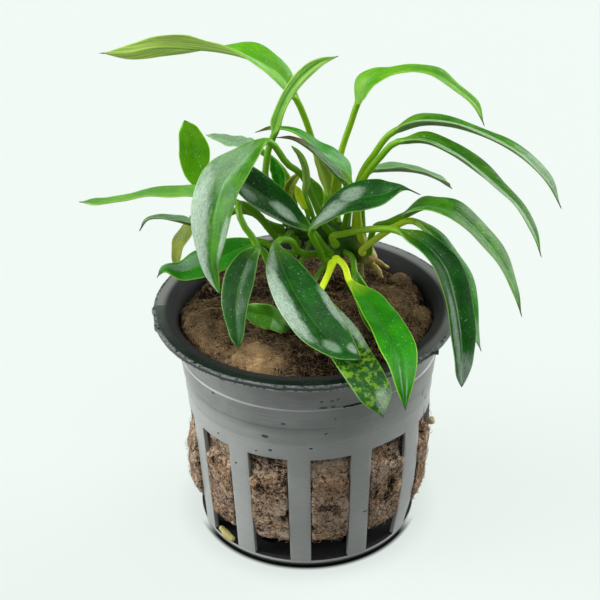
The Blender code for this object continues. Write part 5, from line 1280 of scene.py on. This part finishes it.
wool_mesh.materials.clear()
wool_mesh.materials.append(wool_paint("brown_wool", False))
add_piece("wool_block", wool_mesh, "mineral_wool", "wool_plug")
print("wool dressed")

# %% [markdown]
# ## Loose fibres
# What makes wool look like wool is the fibres that lie on it. A curve object can hold thousands of
# short lines and gives each of them a round section, which is much lighter than modelling them. Each
# fibre starts on the wool, wanders over it and is drawn back to the surface at every step.

# %% Scatter the fibres
FIBRE_POINTS = 5
FIBRES_EACH = 5800
FIBRE_LENGTHS = (1.2, 3.6)
FIBRE_GIRTHS = (0.6, 1.4)
FIBRE_TAPER = 0.75
LYING, STANDING, LYING_SHARE = (0.02, 0.2), (0.25, 0.7), 0.88   # how high fibres rise off the wool
SWAY = 0.33
SLOT_MARGIN = 0.3
TOP_LEVEL, SLOT_LEVELS, SIDE_RADIUS = 0.0425, (0.005, 0.0258), 0.0195   # in metres
surface = BVHTree.FromPolygons([vert.co for vert in wool_mesh.vertices],
                               [face.vertices[:] for face in wool_mesh.polygons])


def in_a_slot(place):
    step = steps_round(place) % steps_per_rib
    return RIB_STEPS + SLOT_MARGIN < step < steps_per_rib - SLOT_MARGIN


def fibre_line(draw, start, normal, length, lift):
    """Places of one fibre that wanders over the wool."""
    heading = normal.orthogonal().normalized()
    heading.rotate(Matrix.Rotation(draw.uniform(0.0, 2.0 * math.pi), 3, normal))
    places = []
    place = start.copy()
    for index in range(FIBRE_POINTS):
        hit, away, _, _ = surface.find_nearest(place)
        height = lift * math.sin(math.pi * (index + 0.4) / FIBRE_POINTS)
        places.append(hit + away * (height * MM))
        sway = Vector((draw.uniform(-1, 1), draw.uniform(-1, 1), draw.uniform(-1, 1))) * SWAY
        heading = (heading + sway).normalized()
        place = hit + heading * (length / FIBRE_POINTS * MM)
    return places


def fibre_piece(name, faces, count, seed, material, thickness):
    """One mesh of many fibres on the given faces of the wool."""
    draw = random.Random(seed)
    curve = bpy.data.curves.new(name, "CURVE")
    curve.dimensions = "3D"
    curve.bevel_depth = MM
    curve.bevel_resolution = 0
    for _ in range(count):
        face = draw.choice(faces)
        lift = draw.uniform(*LYING) if draw.random() < LYING_SHARE else draw.uniform(*STANDING)
        places = fibre_line(draw, face.center, face.normal, draw.uniform(*FIBRE_LENGTHS), lift)
        spline = curve.splines.new("POLY")
        spline.points.add(FIBRE_POINTS - 1)
        girth = draw.uniform(*FIBRE_GIRTHS) * thickness
        for index, (knot, place) in enumerate(zip(spline.points, places)):
            knot.co = (*place, 1.0)
            knot.radius = girth * (1.0 - FIBRE_TAPER * index / (FIBRE_POINTS - 1))
    mesh = evaluated_mesh(name, curve)
    mesh.name = name
    mesh.materials.clear()
    mesh.materials.append(material)
    return add_piece(name, mesh, "mineral_wool")


top_faces = [face for face in wool_mesh.polygons if face.center.z > TOP_LEVEL and face.normal.z > 0.3]
side_faces = [face for face in wool_mesh.polygons
              if SLOT_LEVELS[0] < face.center.z < SLOT_LEVELS[1] and in_a_slot(face.center)
              and math.hypot(face.center.x, face.center.y) > SIDE_RADIUS]
fibre_paint = wool_paint("brown_fibre", True)
fibre_piece("wool_fibres_top", top_faces, FIBRES_EACH, 11, fibre_paint, 0.046)
fibre_piece("wool_fibres_side", side_faces, FIBRES_EACH, 12, fibre_paint, 0.042)
print("faces to scatter on:", len(top_faces), len(side_faces))

# %% [markdown]
# ## The rhizome
# The stem is a chain of short swollen joints. Tubes through its points, joined by a voxel remesh,
# grow together as the real joints do.

# %% Grow the rhizome
ROOTS = [[(12.2, 8.4, 49.0), (13.6, 7.4, 48.0), (14.6, 6.2, 46.6)],
         [(11.6, 8.6, 49.6), (13.6, 9.4, 48.6), (16.0, 9.6, 46.9)],
         [(11.4, 9.0, 49.8), (10.6, 7.0, 48.4), (11.0, 5.6, 46.9)],
         [(0.0, 12.0, 53.2), (-0.5, 13.0, 50.0), (-1.4, 13.6, 46.8)]]
ROOT_RADIUS = 0.55
BARK_BUMPS = ((0.18, 1.1), (0.08, 0.4))   # height and size, in mm


def tube_shape(shape, points, radii, cells=16, rows=24):
    """Adds a closed round tube along the smooth line through the points."""
    knots = [Vector(point) for point in points]
    places, _ = walk(knots, 0, len(knots) - 1, rows)
    grid = bmesh.ops.create_grid(shape, x_segments=cells, y_segments=rows, size=1.0)
    last = len(radii) - 1
    side = (knots[1] - knots[0]).orthogonal().normalized()
    frames = []
    for row in range(rows + 1):
        heading = (places[min(row + 1, rows)] - places[max(row - 1, 0)]).normalized()
        side = (side - heading * side.dot(heading)).normalized()
        frames.append((side, heading.cross(side)))
    for vert in grid["verts"]:
        column = round((vert.co.x + 1.0) * 0.5 * cells)
        row = round((vert.co.y + 1.0) * 0.5 * rows)
        t = row / rows * last
        index = min(int(t), last - 1)
        radius = radii[index] + (radii[index + 1] - radii[index]) * (t - index)
        if row in (0, rows):
            radius = 0.0
        angle = 2.0 * math.pi * column / cells
        side, up = frames[row]
        vert.co = (places[row] + side * (radius * math.cos(angle)) + up * (radius * math.sin(angle))) * MM


def grown_together(name, shape, cell):
    """Merges overlapping closed tubes into one skin."""
    close_up(shape)
    mesh = evaluated_mesh(name, finished_mesh(name, shape), cell)
    mesh.name = name
    return mesh


stem_shape = bmesh.new()
tube_shape(stem_shape, [point for point, _ in RHIZOME], [radius for _, radius in RHIZOME], rows=40)
tube_shape(stem_shape, [point for point, _ in FRONT_BRANCH], [radius for _, radius in FRONT_BRANCH])
for root in ROOTS:
    tube_shape(stem_shape, root, [ROOT_RADIUS, ROOT_RADIUS * 0.9, ROOT_RADIUS * 0.6])
stem_mesh = grown_together("rhizome_skin", stem_shape, 0.2)
for vert in stem_mesh.vertices:
    place = vert.co / MM
    bump = sum(high * noise.noise(place / wide) for high, wide in BARK_BUMPS)
    vert.co += vert.normal * bump * MM
stem_mesh.shade_smooth()
print("faces in the rhizome:", len(stem_mesh.polygons))

# %% [markdown]
# ## The skin of the rhizome
# The young front of the stem is green and smooth. Its old end at the right is straw brown and
# corky, with rings where leaves have come off, and the roots there have the same colour. One paint
# serves all of it, and the two root ends that show in the slots as well: a noise breaks up the place
# where one colour takes over from the other.

# %% Mix the rhizome's skin and the root tips' skin
def stem_paint(name, young, old, split):
    """Green and young towards the front, corky and tan towards the right-hand end."""
    bark = Finish(name, {"Specular IOR Level": 0.35})
    place = bark.place()
    x, y, z = bark.parts(place)
    cloud = bark.mottle(place, 500.0, 4.0, 0.6)
    rings = bark.mottle(bark.vector(x * 3.0, y * 0.6, z * 0.6), 420.0, 2.0)
    share = (x * PER_METRE + (cloud - 0.5) * 4.0).ease(split - 2.0, split + 2.0)
    colour = bark.blend(share, young, old)
    colour = bark.blend(rings.ease(0.5, 0.75) * 0.5, colour, (0.10, 0.065, 0.02))
    bark.set("Base Color", colour)
    bark.set("Roughness", 0.5 + cloud * 0.25)
    bark.raise_by(cloud + rings, 0.6, 0.0002)
    return bark.material


stem_mesh.materials.clear()
stem_mesh.materials.append(stem_paint("rhizome_bark", (0.035, 0.11, 0.008), (0.50, 0.38, 0.12), 11.0))
add_piece("rhizome_skin", stem_mesh, "rhizome_skin", "rhizome")

ROOT_TIPS = {
    "root_tip_left": ([(-16.8, -12.8, 3.8), (-15.3, -14.5, 3.0), (-13.9, -15.8, 2.6)], (0.4, 0.8, 0.5)),
    "root_tip_right": ([(23.2, -6.1, 22.5), (23.6, -5.2, 22.2), (23.7, -4.4, 22.5)], (0.45, 0.7, 0.4)),
}
tip_paint = stem_paint("pale_root", (0.55, 0.50, 0.16), (0.62, 0.60, 0.30), 5.0)
for name, (points, radii) in ROOT_TIPS.items():
    tip_shape = bmesh.new()
    tube_shape(tip_shape, points, radii, 12, 12)
    close_up(tip_shape)
    add_piece(name + "_skin", finished_mesh(name + "_skin", tip_shape, tip_paint), "root_skin", name)
print("rhizome and root tips dressed")

# %% [markdown]
# ## The end
# The last cell only says that the script has run to its end.

# %% The end
print("the scene is built")
